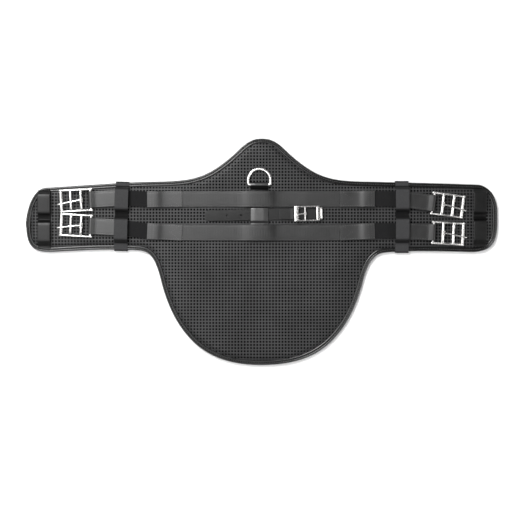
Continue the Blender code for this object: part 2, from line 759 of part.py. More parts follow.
def small_tongue_mesh():
    """A short tongue whose tip rests on the plate."""
    top = SMALL_BAR_R + GAP + SMALL_WIRE_R + 0.05
    plate_top = SMALL_ROD[1] + SMALL_PLATE[2] - SMALL_BAR[1]
    on_plate = plate_top + GAP + SMALL_WIRE_R
    reach = SMALL_ROD[0] - SMALL_BAR[0]
    path = [
        (0.0, 0.0, top), (-3.5, -0.4, 3.1), (reach + 3.4, -1.3, on_plate + 0.25),
        (reach, -1.9, on_plate + 0.2), (reach - 1.6, -2.1, on_plate),
    ]
    return united("small_buckle_tongue", [
        lambda bm: sleeve(bm, SMALL_EYE_R, SMALL_BAR_R + GAP, SMALL_EYE_W / 2),
        lambda bm: sweep(bm, path, circle(SMALL_WIRE_R, WIRE_SIDES), (0, 1, 0)),
    ])


def make_small_strap(looks):
    base = holder("small_strap_place", (BAND_X, SMALL_Y, 0), SMALL_ANGLE)
    piece("small_strap", small_strap_mesh(), looks["leather"], base)
    guard_z = PANEL_TOP + GAP + GUARD_T / 2
    guard = strip_mesh("guard", [(u, 0, guard_z) for u in GUARD_U], GUARD_T, SMALL_W)
    piece("small_buckle_guard", guard, looks["leather"], base)
    bore = SMALL_AXLE_R + GAP
    roller = new_mesh("small_roller", lambda bm: sleeve(bm, SMALL_ROLLER_R, bore, SMALL_ROLLER_LENGTH / 2))
    for part, mesh, (u, z) in (
        ("small_buckle_frame", small_frame_mesh(), SMALL_ROD),
        ("small_buckle_tongue", small_tongue_mesh(), SMALL_BAR),
        ("small_buckle_roller", roller, SMALL_ROLLER_AXLE),
    ):
        piece(part, mesh, looks["nickel"], base, at=(u, 0, z))


def main():
    for obj in list(bpy.data.objects):
        bpy.data.objects.remove(obj)
    looks = {
        "waffle": material("waffle_face", (0.045, 0.045, 0.047), 0.75),
        "lining": material("lining_face", (0.03, 0.03, 0.032), 0.85),
        "foam": material("foam_padding", (0.06, 0.06, 0.065), 0.95),
        "leather": material("black_leather", (0.035, 0.034, 0.035), 0.5),
        "elastic": material("black_elastic", (0.02, 0.02, 0.021), 0.9),
        "nickel": material("nickel_plate", (0.82, 0.8, 0.78), 0.2, 1.0),
    }
    make_panel(looks)
    make_straps(looks)
    make_strap_ends(looks)
    make_keepers(looks)
    make_centre_band(looks)
    make_small_strap(looks)


main()
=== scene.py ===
"""The looks of the saddle girth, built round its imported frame.

Lengths are in millimetres until a mesh is finished, and places are those of the CAD nodes: X along the
girth, +Y towards the horse's head, +Z away from the horse.
"""

import json
import math

import bmesh
import bpy
import numpy as np
from mathutils import Matrix, Vector
from mathutils.geometry import interpolate_bezier


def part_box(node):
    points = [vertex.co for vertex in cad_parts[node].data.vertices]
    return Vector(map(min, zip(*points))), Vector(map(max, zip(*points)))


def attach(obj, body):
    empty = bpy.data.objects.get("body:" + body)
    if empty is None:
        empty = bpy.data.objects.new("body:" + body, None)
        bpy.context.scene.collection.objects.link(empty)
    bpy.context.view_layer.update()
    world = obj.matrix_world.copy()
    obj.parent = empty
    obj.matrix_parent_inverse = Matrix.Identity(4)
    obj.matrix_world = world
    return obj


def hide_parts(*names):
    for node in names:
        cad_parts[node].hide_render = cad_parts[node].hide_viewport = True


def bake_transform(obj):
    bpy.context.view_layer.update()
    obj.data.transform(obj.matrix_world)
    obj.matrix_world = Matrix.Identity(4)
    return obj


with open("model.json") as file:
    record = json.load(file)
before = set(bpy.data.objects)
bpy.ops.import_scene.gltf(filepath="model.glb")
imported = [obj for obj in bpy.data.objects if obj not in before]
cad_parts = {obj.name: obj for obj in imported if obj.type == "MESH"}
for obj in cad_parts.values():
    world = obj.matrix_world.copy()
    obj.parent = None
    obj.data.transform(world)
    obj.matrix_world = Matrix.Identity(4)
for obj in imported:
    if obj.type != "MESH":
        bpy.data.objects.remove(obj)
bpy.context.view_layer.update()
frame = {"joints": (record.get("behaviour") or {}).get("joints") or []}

MM = 0.001
GAP = 0.3
JOINTS = {joint["name"]: joint for joint in frame["joints"]}


def box(node):
    """A CAD node's lowest and highest corners, in millimetres."""
    low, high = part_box(node)
    return low / MM, high / MM


def joint_place(name):
    return Vector(JOINTS[name]["pos_m"]) / MM


# The panel's outline, as the frame has it: x, y, heading, reach before, reach after.
FRONT_KNOTS = (
    (0.0, 170.0, 0.0, 0.0, 22.0),
    (48.0, 141.0, -40.0, 23.5, 46.5),
    (156.0, 105.5, -1.0, 52.5, 60.5),
)
REAR_KNOTS = (
    (150.5, -45.0, 256.0, 34.0, 11.0),
    (123.0, -110.0, 236.0, 30.0, 48.5),
    (0.0, -169.0, 180.0, 60.0, 0.0),
)
ARM_KNOTS = {
    -1: (
        (323.0, 96.5, -3.0, 60.5, 20.5),
        (353.0, 44.5, -90.0, 16.5, 37.5),
        (311.0, 0.5, 177.0, 32.0, 42.0),
        (184.0, 2.5, 184.0, 41.5, 18.5),
    ),
    1: (
        (323.5, 101.0, -2.0, 54.5, 6.5),
        (352.0, 60.5, -90.0, 32.5, 34.0),
        (308.5, 0.0, 178.0, 46.5, 39.5),
        (182.5, -1.0, 186.0, 33.5, 12.0),
    ),
}
COARSE_STEPS = 9
FINE_STEPS = 30

# Heights of the panel's layers.
PANEL_TOP = box("outer_panel")[1].z
RIM_TOP = 5.7
RIM_LOW = 4.3
RIM_INSET = 1.3
FLAT_INSET = 8.0
FULL_INSET = 14.0

# The binding's section, as (inset, height) pairs: rolled bead, groove, lower ridge, underside.
BINDING_SECTION = (
    (0.0, 4.4), (0.1, 5.3), (0.45, 6.2), (1.0, 6.85), (1.7, 7.2), (2.4, 7.15), (3.0, 6.75), (3.35, 6.25),
    (3.7, 6.2), (4.0, 6.6), (4.6, 6.9), (5.4, 6.95), (6.1, 6.8), (6.6, 6.45), (7.0, 6.1), (6.9, 6.02),
    (4.0, 6.0), (1.3, 6.0), (1.0, 4.25), (1.3, 2.5), (4.0, 2.5), (6.9, 2.48), (7.0, 2.2), (6.6, 1.7),
    (5.0, 1.5), (3.1, 1.75), (1.9, 1.5), (1.0, 1.8), (0.3, 2.7),
)
BINDING_SHADED = {6, 7, 8, 13, 14}  # the faces down in the groove and at the ridge's foot, which get painted shade
BINDING_STITCHES = (3.52, 6.45)

# The binding's end, lapped over its start at the left.
LAP_X = -345.0
LAP_Y = (37.0, 46.5)
LAP_T = 0.5

# The waffle: square pits in a rubbery face.
PITCH = 4.7
PIT_MARGIN = 5.5
PIT_TOP = 1.3
PIT_FLOOR = 1.05
PIT_DEPTH = 1.1

# The crown: how the padding lifts the face between the places that hold it down.
CROWN_GRID = 6.0
CROWN_CAP = 1.1
CROWN_PRESSURE = 4.0
CROWN_FRAMES = 20

# The straps and their ends.
HARDWARE_X = -1.5
FRONT_ROW_Y = 79.3
REAR_ROW_Y = 29.0
STRAP_W = 24.5
STRAP_T = 2.0
STRAP_Z = PANEL_TOP + GAP + STRAP_T / 2
STRAP_RUN = 14.0  # the length of its rise to the centre band
TAB_SEAM_X = 118.0
MOUTH_X = 169.5
TAB_T = 1.6
ELASTIC_T = 1.4
ELASTIC_W = 23.0
ELASTIC_Z = PANEL_TOP + 2 * GAP + STRAP_T + ELASTIC_T / 2
ELASTIC_IN_TAB = 14.0
STRAP_ENDS = {  # side, row, Y of the tab's mouth, Y of the chape's root, the buckle's turn
    "left_front": (-1, FRONT_ROW_Y, 78.6, 80.8, -3.0),
    "left_rear": (-1, REAR_ROW_Y, 31.2, 36.2, 3.0),
    "right_front": (1, FRONT_ROW_Y, 79.6, 79.3, -7.5),
    "right_rear": (1, REAR_ROW_Y, 31.6, 32.0, -3.2),
}
ROOT_X = 206.3
CHAPE_T = 1.6
CHAPE_W = 24.5
CHAPE_LAP = 2.5
CHAPE_GRIP = 6.5
CHAPE_LOWER_Z = PANEL_TOP + 0.4 + CHAPE_T / 2
CHAPE_UPPER_Z = ELASTIC_Z + ELASTIC_T / 2 + GAP + CHAPE_T / 2

# The roller buckles, about their hinge bars.
HINGE_BAR_R = 1.5
HINGE_BAR = (49.4, CHAPE_LOWER_Z + HINGE_BAR_R + GAP + CHAPE_T / 2)
CROSS_BAR_R = 2.0
TONGUE_BAR = (63.5, 12.6)
MIDDLE_BAR = (79.0, 12.8)
ROLLER_AXLE = (93.3, 10.5)
AXLE_R = 1.5
ROLLER_R = 2.65
ROLLER_LENGTH = 27.4
SIDE_BAR_V = 15.6
TONGUE_WIRE_R = 1.05
TONGUE_EYE_W = 7.5
TONGUE_EYE_R = 3.4

# Keepers. A loop's four Y are those of its front foot, front shoulder, rear shoulder and rear foot. The gap
# between two loops gets painted shade.
ARM_KEEPER_X = {-1: -211.0, 1: 209.0}
ARM_KEEPER_TURN = {-1: -1.5, 1: 0.0}
ARM_KEEPER_W = 20.0
ARM_KEEPER_T = 1.0
ARM_KEEPER_TOP = 18.9
ARM_LOOPS = ((98.4, 95.3, 62.6, 58.2), (54.0, 50.6, 17.4, 13.6))
ARM_GAP_Y = (53.5, 58.7)
END_KEEPER_X = 325.0
END_KEEPER_W = 19.0
END_KEEPER_T = 1.5
END_KEEPER_TOP = 14.6
END_LOOPS = ((93.0, 88.5, 58.0, 52.0), (48.5, 45.5, 15.5, 10.0))
END_GAP_Y = (48.0, 52.5)

# The centre band and the dee ring.
BAND_X = -4.0
BAND_W = 26.0
BAND_T = 1.0
BAND_LOWER_Z = PANEL_TOP + GAP + BAND_T / 2
BAND_UPPER_Z = BAND_LOWER_Z + BAND_T + GAP
BAND_LOOP_Z = 12.3
BAND_END_Y = 21.0
DEE_WIRE_R = 2.1
DEE_BOW_R = 16.6
DEE_CORNER_R = 3.0
DEE_BOW_Y = 6.8
DEE_SAG = 3.0
DEE_CREST_Y = 99.0  # the band gets painted shade from the front strap to here

# The small strap and its buckle.
SMALL_Y = 56.0
SMALL_ANGLE = 1.2
SMALL_W = 17.0
SMALL_T = 1.6
SMALL_Z = BAND_LOWER_Z + BAND_T / 2 + GAP + SMALL_T / 2
SMALL_TIP_U = -81.0
SMALL_LAP_U = 30.0
SMALL_POINT = 6.5
SMALL_HOLES_U = (-48.0, -27.5, -7.0, 13.5)
HOLE_R = 1.5
SMALL_ROD_R = 1.25
SMALL_ROD = (55.3, SMALL_Z + SMALL_ROD_R + GAP + SMALL_T / 2)
SMALL_BAR = (68.3, 14.4)
SMALL_BAR_R = 1.1
SMALL_SIDE_V = 10.3
SMALL_ROLLER_AXLE = (92.6, 12.2)
SMALL_AXLE_R = 1.0
SMALL_ROLLER_R = 2.3
SMALL_ROLLER_LENGTH = 13.4
GUARD_U = (36.0, 88.0)
GUARD_T = 1.0

# Stitching.
STITCH_PITCH = 3.4
STITCH_LENGTH = 2.5
STITCH_R = 0.3
STITCH_LINE = 2.3  # from a strap's edge, where the strap has a pressed line
STITCH_SUNK = 0.05
PRESSED_SCALE = 131.0  # a rib every 2.4 mm across the long straps
THREAD = 1  # the second look of a stitched piece
DYE_AND_SHADE = 2  # its third: painted shade in grooves and holes, and dye on cut edges


# ---- materials
class Look:
    """One procedural material in the making."""

    def __init__(self, name, roughness, metallic=0.0):
        self.material = bpy.data.materials.new(name)
        self.material.use_nodes = True
        self.tree = self.material.node_tree
        self.shader = self.tree.nodes["Principled BSDF"]
        self.shader.inputs["Roughness"].default_value = roughness
        self.shader.inputs["Metallic"].default_value = metallic
        self.place = self.node("ShaderNodeTexCoord").outputs["Object"]
        self.normal = None

    def node(self, kind, **inputs):
        made = self.tree.nodes.new(kind)
        for name, value in inputs.items():
            self.feed(made.inputs[name.replace("_", " ")], value)
        return made

    def feed(self, socket, value):
        if isinstance(value, bpy.types.NodeSocket):
            self.tree.links.new(value, socket)
        else:
            socket.default_value = value

    def noise(self, scale, detail=3.0, rough=0.55, squeeze=1.0):
        """Noise, finer along Y by squeeze."""
        place = self.place
        if squeeze != 1.0:
            place = self.node("ShaderNodeMapping", Vector=place, Scale=(1.0, squeeze, 1.0)).outputs["Vector"]
        made = self.node("ShaderNodeTexNoise", Vector=place, Scale=scale, Detail=detail, Roughness=rough)
        return made.outputs["Fac"]

    def cells(self, scale):
        return self.node("ShaderNodeTexVoronoi", Vector=self.place, Scale=scale).outputs["Distance"]

    def waves(self, scale, direction="X", distortion=0.0):
        made = self.node("ShaderNodeTexWave", Vector=self.place, Scale=scale, Distortion=distortion)
        made.bands_direction = direction
        return made.outputs["Fac"]

    def ramp(self, value, *stops):
        """From one colour or grey to another, each with its place between 0 and 1."""
        made = self.node("ShaderNodeValToRGB", Fac=value)
        for element, (place, colour) in zip(made.color_ramp.elements, stops):
            element.position = place
            element.color = (*colour, 1.0) if isinstance(colour, tuple) else (colour, colour, colour, 1.0)
        return made.outputs["Color"]

    def spread(self, value, low, high):
        """low at 0, high at 1."""
        return self.node("ShaderNodeMapRange", Value=value, To_Min=low, To_Max=high).outputs["Result"]

    def between(self, value, start, end):
        """0 at start, 1 at end."""
        return self.node("ShaderNodeMapRange", Value=value, From_Min=start, From_Max=end).outputs["Result"]

    def maths(self, operation, *values):
        made = self.tree.nodes.new("ShaderNodeMath")
        made.operation = operation
        for socket, value in zip(made.inputs, values):
            self.feed(socket, value)
        return made.outputs["Value"]

    def painted_shade(self, strip):
        """Where painted shade goes: 1 on a loop's legs, which lean to the front or the rear, and between the
        two Y of strip.
        """
        normal = self.node("ShaderNodeTexCoord").outputs["Normal"]
        lean = self.maths("ABSOLUTE", self.node("ShaderNodeSeparateXYZ", Vector=normal).outputs["Y"])
        legs = self.between(lean, 0.3, 0.75)
        forward = self.node("ShaderNodeSeparateXYZ", Vector=self.place).outputs["Y"]
        start, end = (self.between(forward, (y - 0.7) * MM, (y + 0.7) * MM) for y in strip)
        return self.maths("MAXIMUM", legs, self.maths("SUBTRACT", start, end))

    def mix(self, factor, first, second):
        made = self.tree.nodes.new("ShaderNodeMix")
        made.data_type = "RGBA"
        self.feed(made.inputs["Factor"], factor)
        for socket, value in ((made.inputs[6], first), (made.inputs[7], second)):
            self.feed(socket, (*value, 1.0) if isinstance(value, tuple) else value)
        return made.outputs[2]

    def bump(self, height, depth_mm, strength=1.0):
        made = self.node("ShaderNodeBump", Height=height, Strength=strength, Distance=depth_mm * MM)
        if self.normal is not None:
            self.feed(made.inputs["Normal"], self.normal)
        self.normal = made.outputs["Normal"]
        self.feed(self.shader.inputs["Normal"], self.normal)

    def colour(self, value):
        self.feed(self.shader.inputs["Base Color"], value)

    def worn(self, base, edge):
        """base, rubbed to edge along the sharp outer edges."""
        pointed = self.node("ShaderNodeNewGeometry").outputs["Pointiness"]
        return self.mix(self.ramp(pointed, (0.53, 0.0), (0.62, 1.0)), base, edge)

    def rough(self, value, low, high):
        self.feed(self.shader.inputs["Roughness"], self.spread(value, low, high))

    def plain(self, **values):
        for name, value in values.items():
            self.shader.inputs[name.replace("_", " ")].default_value = value


def leather_look(name, dark, light, rough, grain, shine, strip=None, pressed=False):
    """Leather, pressed in fine ribs or not. A loop's legs get painted shade with less shine, and so does the
    strip between the two Y of strip.
    """
    look = Look(name, rough)
    hide = look.worn(look.ramp(look.noise(28.0, 4.0), (0.3, dark), (0.75, light)), (1.8 * light,) * 3)
    look.plain(Specular_IOR_Level=shine)
    if strip:
        shade = look.painted_shade(strip)
        # painted shade on the legs and the strip: near black, with less shine
        hide = look.mix(shade, hide, (0.003, 0.003, 0.003))
        look.feed(look.shader.inputs["Specular IOR Level"], look.spread(shade, shine, 0.1))
    look.colour(hide)
    if pressed:
        look.rough(look.noise(75.0), rough - 0.08, rough + 0.2)
        look.bump(look.waves(PRESSED_SCALE, "X", 0.6), 0.1, 0.5)
    else:
        look.rough(look.noise(160.0), rough - 0.07, rough + 0.1)
    look.bump(look.noise(45.0, 2.0, squeeze=3.0), 0.5, 0.35)
    look.bump(look.cells(1300.0), grain, 0.5)
    look.bump(look.noise(2600.0, 2.0), grain * 0.5, 0.4)
    return look.material


def waffle_look(name, dark, light, rough, shine):
    look = Look(name, rough)
    cloud = look.noise(16.0, 5.0, 0.6)
    look.colour(look.worn(look.ramp(cloud, (0.3, dark), (0.75, light)), tuple(1.5 * c for c in light)))
    look.rough(look.noise(90.0), rough - 0.06, rough + 0.08)
    look.bump(look.noise(1500.0), 0.06, 0.5)
    look.bump(look.noise(260.0, 2.0), 0.12, 0.3)
    look.plain(Specular_IOR_Level=shine)
    return look.material


def elastic_look(name, dark, light, strip=None):
    look = Look(name, 0.85)
    rows = look.waves(330.0, "X", 1.0)
    weave = look.mix(look.noise(700.0, 2.0), look.ramp(rows, (0.2, dark), (0.8, light)), dark)
    # with a strip, painted shade on the loop's legs and between its two Y
    look.colour(look.mix(look.painted_shade(strip), weave, (0.003, 0.003, 0.0032)) if strip else weave)
    look.rough(look.noise(120.0), 0.78, 0.92)
    look.bump(rows, 0.08, 0.6)
    look.bump(look.waves(650.0, "Y", 1.5), 0.06, 0.5)
    look.bump(look.noise(2200.0, 2.0), 0.05, 0.4)
    look.plain(Sheen_Weight=0.03, Sheen_Roughness=0.4, Specular_IOR_Level=0.2)
    return look.material


def lining_look():
    look = Look("lining_cloth", 0.88)
    weave = look.mix(0.5, look.waves(420.0, "X", 0.6), look.waves(420.0, "Y", 0.6))
    look.colour(look.ramp(look.mix(0.35, weave, look.noise(22.0, 4.0)), (0.3, 0.012), (0.7, 0.03)))
    look.rough(look.noise(70.0), 0.8, 0.95)
    look.bump(weave, 0.12, 0.6)
    look.plain(Sheen_Weight=0.2)
    return look.material


def nickel_look():
    look = Look("nickel_plate", 0.2, 1.0)
    look.colour(look.ramp(look.noise(120.0, 4.0), (0.3, (0.84, 0.825, 0.81)), (0.7, (0.93, 0.92, 0.91))))
    look.rough(look.noise(420.0, 4.0), 0.2, 0.33)
    look.bump(look.noise(900.0, squeeze=8.0), 0.015, 0.2)
    look.bump(look.noise(180.0, 2.0), 0.06, 0.12)
    return look.material


def thread_look():
    look = Look("bonded_thread", 0.6)
    twist = look.waves(900.0, "DIAGONAL", 0.4)
    look.colour(look.ramp(twist, (0.2, 0.05), (0.8, 0.11)))
    look.rough(look.noise(300.0), 0.5, 0.7)
    look.bump(twist, 0.08, 0.6)
    return look.material


def floor_look():
    look = Look("pale_floor", 0.7)
    look.colour(look.ramp(look.noise(6.0, 4.0), (0.3, 0.92), (0.7, 0.95)))
    look.bump(look.noise(140.0), 0.1, 0.15)
    return look.material


def make_looks():
    leathers = {
        "strap": (0.009, 0.017, 0.33, 0.09, 0.5, None, True),
        "chape": (0.01, 0.02, 0.34, 0.1, 0.6),
        # the two Y given to the keepers and the band bound a strip of painted shade
        "keeper_leather": (0.006, 0.011, 0.36, 0.07, 0.25, END_GAP_Y),
        "band": (0.026, 0.042, 0.3, 0.07, 0.7, (FRONT_ROW_Y + STRAP_W / 2, DEE_CREST_Y)),
        "small_strap": (0.007, 0.013, 0.42, 0.07, 0.28),
        "binding": (0.004, 0.009, 0.22, 0.04, 0.55),
        # dye on cut edges, and painted shade in the binding's groove and the small strap's holes
        "dyed_edge_and_shade": (0.002, 0.004, 0.6, 0.05, 0.12),
    }
    return {
        **{name: leather_look(f"{name}_grain", *values) for name, values in leathers.items()},
        "waffle": waffle_look("waffle_rubber", (0.017, 0.017, 0.0175), (0.036, 0.036, 0.037), 0.5, 0.33),
        # near black: painted shade on the pits' floors and walls
        "pit": waffle_look("waffle_pit_shade", (0.0005, 0.0005, 0.0005), (0.0015, 0.0015, 0.0015), 0.9, 0.01),
        "elastic": elastic_look("insert_elastic", (0.005, 0.005, 0.0054), (0.014, 0.014, 0.0145)),
        "weave": elastic_look("keeper_weave", (0.03, 0.03, 0.031), (0.06, 0.06, 0.062), ARM_GAP_Y),
        "lining": lining_look(),
        "nickel": nickel_look(),
        "thread": thread_look(),
    }


# What each kind of piece is made of: its slot, then its looks in the order of THREAD and DYE_AND_SHADE.
KINDS = {
    # the face's second look is painted shade in its pits
    "face": ("waffle_face", "waffle", "pit"),
    "lining": ("lining_face", "lining"),
    "binding": ("edge_binding", "binding", "thread", "dyed_edge_and_shade"),
    "strap": ("strap_leather", "strap", "thread", "dyed_edge_and_shade"),
    "chape": ("strap_leather", "chape", "thread", "dyed_edge_and_shade"),
    "small_strap": ("strap_leather", "small_strap", "thread", "dyed_edge_and_shade"),
    "keeper": ("strap_leather", "keeper_leather"),
    "band": ("strap_leather", "band"),
    "insert": ("elastic_webbing", "elastic"),
    "arm_keeper": ("keeper_elastic", "weave"),
    "metal": ("nickel_hardware", "nickel"),
}
LOOKS = make_looks()


# ---- shapes
def loft(bm, rings, closed=False, look=0):
    """Skins rings of equal length with quads, and caps the two ends unless the loft is closed."""
    loops = [[bm.verts.new(p) for p in ring] for ring in rings]
    count = len(loops[0])
    pairs = list(zip(loops, loops[1:]))
    if closed:
        pairs.append((loops[-1], loops[0]))
    for low, high in pairs:
        for i in range(count):
            j = (i + 1) % count
            bm.faces.new((low[i], low[j], high[j], high[i])).material_index = look
    if not closed:
        caps = [bm.faces.new(loops[0]), bm.faces.new(loops[-1])]
        for cap in caps:
            cap.material_index = look
        bmesh.ops.triangulate(bm, faces=caps)


def tangents(points, closed=False):
    last = len(points) - 1
    found = []
    for i, point in enumerate(points):
        before = points[i - 1] if i or closed else point
        after = points[(i + 1) % len(points)] if i < last or closed else point
        found.append(((point - before).normalized() + (after - point).normalized()).normalized())
    return found


def sweep(bm, path, section, side=(0, 1, 0), closed=False, taper=None):
    """Sweeps section, pairs (along side, across), down path. taper scales it both ways at each point."""
    points = [Vector(p) for p in path]
    rings = []
    for i, (point, tangent) in enumerate(zip(points, tangents(points, closed))):
        first = (Vector(side) - tangent * tangent.dot(Vector(side))).normalized()
        second = tangent.cross(first)
        wide, deep = taper[i] if taper else (1.0, 1.0)
        rings.append([point + first * a * wide + second * b * deep for a, b in section])
    loft(bm, rings, closed)


def circle(radius, sides=20):
    turns = [2 * math.pi * k / sides for k in range(sides)]
    return [(radius * math.cos(t), radius * math.sin(t)) for t in turns]


def oval(width, height, sides=20, power=0.75):
    """A superellipse, from a softened rectangle to an ellipse at power 1."""
    def part(size, share):
        return size / 2 * math.copysign(abs(share) ** power, share)

    turns = [2 * math.pi * (k + 0.5) / sides for k in range(sides)]
    return [(part(width, math.cos(t)), part(height, math.sin(t))) for t in turns]


def strap_section(width, thickness, groove=0.14, line=STITCH_LINE):
    """A leather strap across: rounded edges, a pressed line inside each, and a slightly full middle."""
    half_w, half_t = width / 2, thickness / 2
    steps = ((0.0, -half_t), (0.1, -0.55 * half_t), (0.4, -0.18 * half_t), (1.0, 0.0), (line - 0.6, 0.0),
             (line, -groove), (line + 0.6, 0.0), (line + 2.5, 0.03), (0.3 * width, 0.05))
    top = [(-half_w + inset, half_t + drop) for inset, drop in steps]
    top += [(half_w - inset, half_t + drop) for inset, drop in reversed(steps)]
    under = ((0.15, 0.55 * half_t), (0.6, 0.1 * half_t), (0.3 * width, 0.0))
    low = [(half_w - inset, -half_t + rise) for inset, rise in under]
    low += [(-half_w + inset, -half_t + rise) for inset, rise in reversed(under)]
    return top + low


def ribbed_section(width, thickness, ribs, depth=0.16):
    """Elastic across: lengthwise ribs on both faces."""
    half_w, half_t = width / 2, thickness / 2
    count = ribs * 4
    across = [-half_w + width * k / count for k in range(count + 1)]
    face = [half_t - depth * (0.5 + 0.5 * math.cos(2 * math.pi * k / 4)) for k in range(count + 1)]
    top = list(zip(across, face))
    return top + [(a, -b) for a, b in reversed(top)]


def rounded(path, times=2):
    """Cuts the path's corners, and keeps its two ends."""
    points = [Vector(p) for p in path]
    for _ in range(times):
        cut = [points[0]]
        for a, b in zip(points, points[1:]):
            cut += [a.lerp(b, 0.25), a.lerp(b, 0.75)]
        cut.append(points[-1])
        points = cut
    return points


def spaced(points, step):
    """The same line with points about step apart."""
    points = [Vector(p) for p in points]
    lengths = [(b - a).length for a, b in zip(points, points[1:])]
    total = sum(lengths)
    count = max(2, round(total / step))
    placed, done, k = [points[0]], 0.0, 0
    for n in range(1, count):
        goal = total * n / count
        while done + lengths[k] < goal:
            done += lengths[k]
            k += 1
        placed.append(points[k].lerp(points[k + 1], (goal - done) / lengths[k]))
    return placed + [points[-1]]


def relaxed(points, amount, seed):
    """Long, shallow waves in a strap that has been worn."""
    walked = 0.0
    moved = []
    for before, point in zip([points[0], *points], points):
        walked += (point - before).length
        wave = math.sin(walked / 17.0 + seed) * 0.6 + math.sin(walked / 7.3 + 2.1 * seed) * 0.4
        moved.append(point + Vector((0, 0, amount * wave)))
    return moved


def fold(centre, radius, end, steps=14):
    """(along, height) points of a strip turned back round a bar, from under it to the angle end."""
    angles = [math.radians(-90 + (end + 90) * k / steps) for k in range(steps + 1)]
    return [(centre[0] + radius * math.cos(a), centre[1] + radius * math.sin(a)) for a in angles]


def lengthways(path):
    return [(u, 0, z) for u, z in path]


def crossways(path):
    return [(0, y, z) for y, z in path]


def stitch(bm, centre, along):
    """One stitch: a short, flattened run of thread with sunken ends."""
    up = Vector((0, 0, 1))
    across = along.cross(up).normalized()
    rings = []
    for share, size in ((-0.5, 0.25), (-0.36, 0.8), (0.0, 1.0), (0.36, 0.8), (0.5, 0.25)):
        sink = STITCH_R * 1.2 * (2 * share) ** 4
        middle = centre + along * share * STITCH_LENGTH - up * sink
        rings.append([middle + (across * a + up * 0.75 * b) * STITCH_R * size for a, b in circle(1.0, 6)])
    loft(bm, rings, look=THREAD)


def stitch_row(bm, line, inset=1.5):
    """Stitches along a line that lies on the surface, kept inset from both of its ends."""
    points = spaced(line, STITCH_PITCH)
    for a, b in zip(points, points[1:]):
        middle = (a + b) / 2
        if (middle - points[0]).length > inset and (middle - points[-1]).length > inset:
            stitch(bm, middle, (b - a).normalized())


def rod(bm, u, z, radius, half_length):
    """A round bar along Y with softened ends."""
    soft = min(0.4, radius * 0.4)
    path = [(u, v, z) for v in (-half_length, -half_length + soft, half_length - soft, half_length)]
    end = (1 - soft / radius, 1 - soft / radius)
    sweep(bm, path, circle(radius, 24), (1, 0, 0), taper=[end, (1, 1), (1, 1), end])


def turned(bm, profile, sides=28):
    """Turns a closed profile of (distance along Y, radius) into a ring."""
    rings = []
    for k in range(sides):
        t = 2 * math.pi * k / sides
        rings.append([(radius * math.sin(t), along, radius * math.cos(t)) for along, radius in profile])
    loft(bm, rings, closed=True)


def ball(bm, centre, radii, steps=10, sides=16):
    """An ellipsoid, in rings along X."""
    x, y, z = centre
    rings = []
    for k in range(steps + 1):
        lat = math.pi * (k / steps - 0.5) * 0.98
        rings.append([
            (x + radii[0] * math.sin(lat), y + radii[1] * math.cos(lat) * a, z + radii[2] * math.cos(lat) * b)
            for a, b in circle(1.0, sides)
        ])
    loft(bm, rings)


def add(name, data):
    obj = bpy.data.objects.new(name, data)
    bpy.context.scene.collection.objects.link(obj)
    return obj


def shaded(mesh, sharp):
    """Smooth, but for edges sharper than the angle."""
    mesh.shade_smooth()
    mesh.set_sharp_from_angle(angle=math.radians(sharp))
    return mesh


def to_mesh(name, build, sharp=35.0):
    bm = bmesh.new()
    build(bm)
    bmesh.ops.recalc_face_normals(bm, faces=bm.faces)
    bmesh.ops.scale(bm, vec=(MM, MM, MM), verts=bm.verts)
    mesh = bpy.data.meshes.new(name)
    bm.to_mesh(mesh)
    bm.free()
    return shaded(mesh, sharp)


def joined(name, builders, cutters=(), sharp=35.0):
    """One mesh from overlapping closed shapes, less the cutters."""
    shapes = [add(f"{name}_shape", to_mesh(name, build)) for build in (*builders, *cutters)]
    base = shapes[0]
    for i, shape in enumerate(shapes[1:], 1):
        step = base.modifiers.new("step", "BOOLEAN")
        step.operation = "UNION" if i < len(builders) else "DIFFERENCE"
        step.object = shape
    bpy.context.view_layer.update()
    mesh = bpy.data.meshes.new_from_object(base.evaluated_get(bpy.context.evaluated_depsgraph_get()))
    mesh.name = name
    for shape in shapes:
        bpy.data.objects.remove(shape)
    return shaded(mesh, sharp)


def dyed_and_shaded_edges(mesh, lean=0.8):
    """The dark look on faces that look to the front or the rear: dye on a strap's cut edges, and, at a low
    lean, painted shade on the walls of its holes as well.
    """
    for face in mesh.polygons:
        if abs(face.normal.y) > lean:
            face.material_index = DYE_AND_SHADE
    return mesh


def piece(name, mesh, kind, nodes, body=None, at=(0, 0, 0), turn=0.0, about="Z"):
    """An object in its place, which stands for CAD nodes and rides on a body."""
    obj = add(name, mesh)
    slot, *looks = KINDS[kind]
    for look in looks:
        mesh.materials.append(LOOKS[look])
    obj.matrix_world = Matrix.Translation(Vector(at) * MM) @ Matrix.Rotation(math.radians(turn), 4, about)
    bpy.context.view_layer.update()
    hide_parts(*nodes)
    if body:
        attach(obj, body)
    return obj


# ---- panel
def heading_vector(degrees):
    return Vector((math.cos(math.radians(degrees)), math.sin(math.radians(degrees)), 0.0))


def side_curve(side, steps):
    """The outline on one side, from the front point to the rear one."""
    curve = []
    knots = [*FRONT_KNOTS, *ARM_KNOTS[side], *REAR_KNOTS]
    for (x, y, leaving, _, reach), (end_x, end_y, arriving, end_reach, _) in zip(knots, knots[1:]):
        start, end = Vector((x, y, 0.0)), Vector((end_x, end_y, 0.0))
        handles = start + heading_vector(leaving) * reach, end - heading_vector(arriving) * end_reach
        curve.extend(interpolate_bezier(start, *handles, end, steps)[:-1])
    curve.append(end)
    return [Vector((side * p.x, p.y, 0.0)) for p in curve]


def outline(inset=0.0, steps=FINE_STEPS):
    """The panel's outline, anticlockwise, moved inwards by inset."""
    loop = side_curve(-1, steps) + side_curve(1, steps)[-2:0:-1]
    moved = []
    for i, point in enumerate(loop):
        along = (loop[(i + 1) % len(loop)] - loop[i - 1]).normalized()
        moved.append(point + Vector((-along.y, along.x, 0.0)) * inset)
    return moved


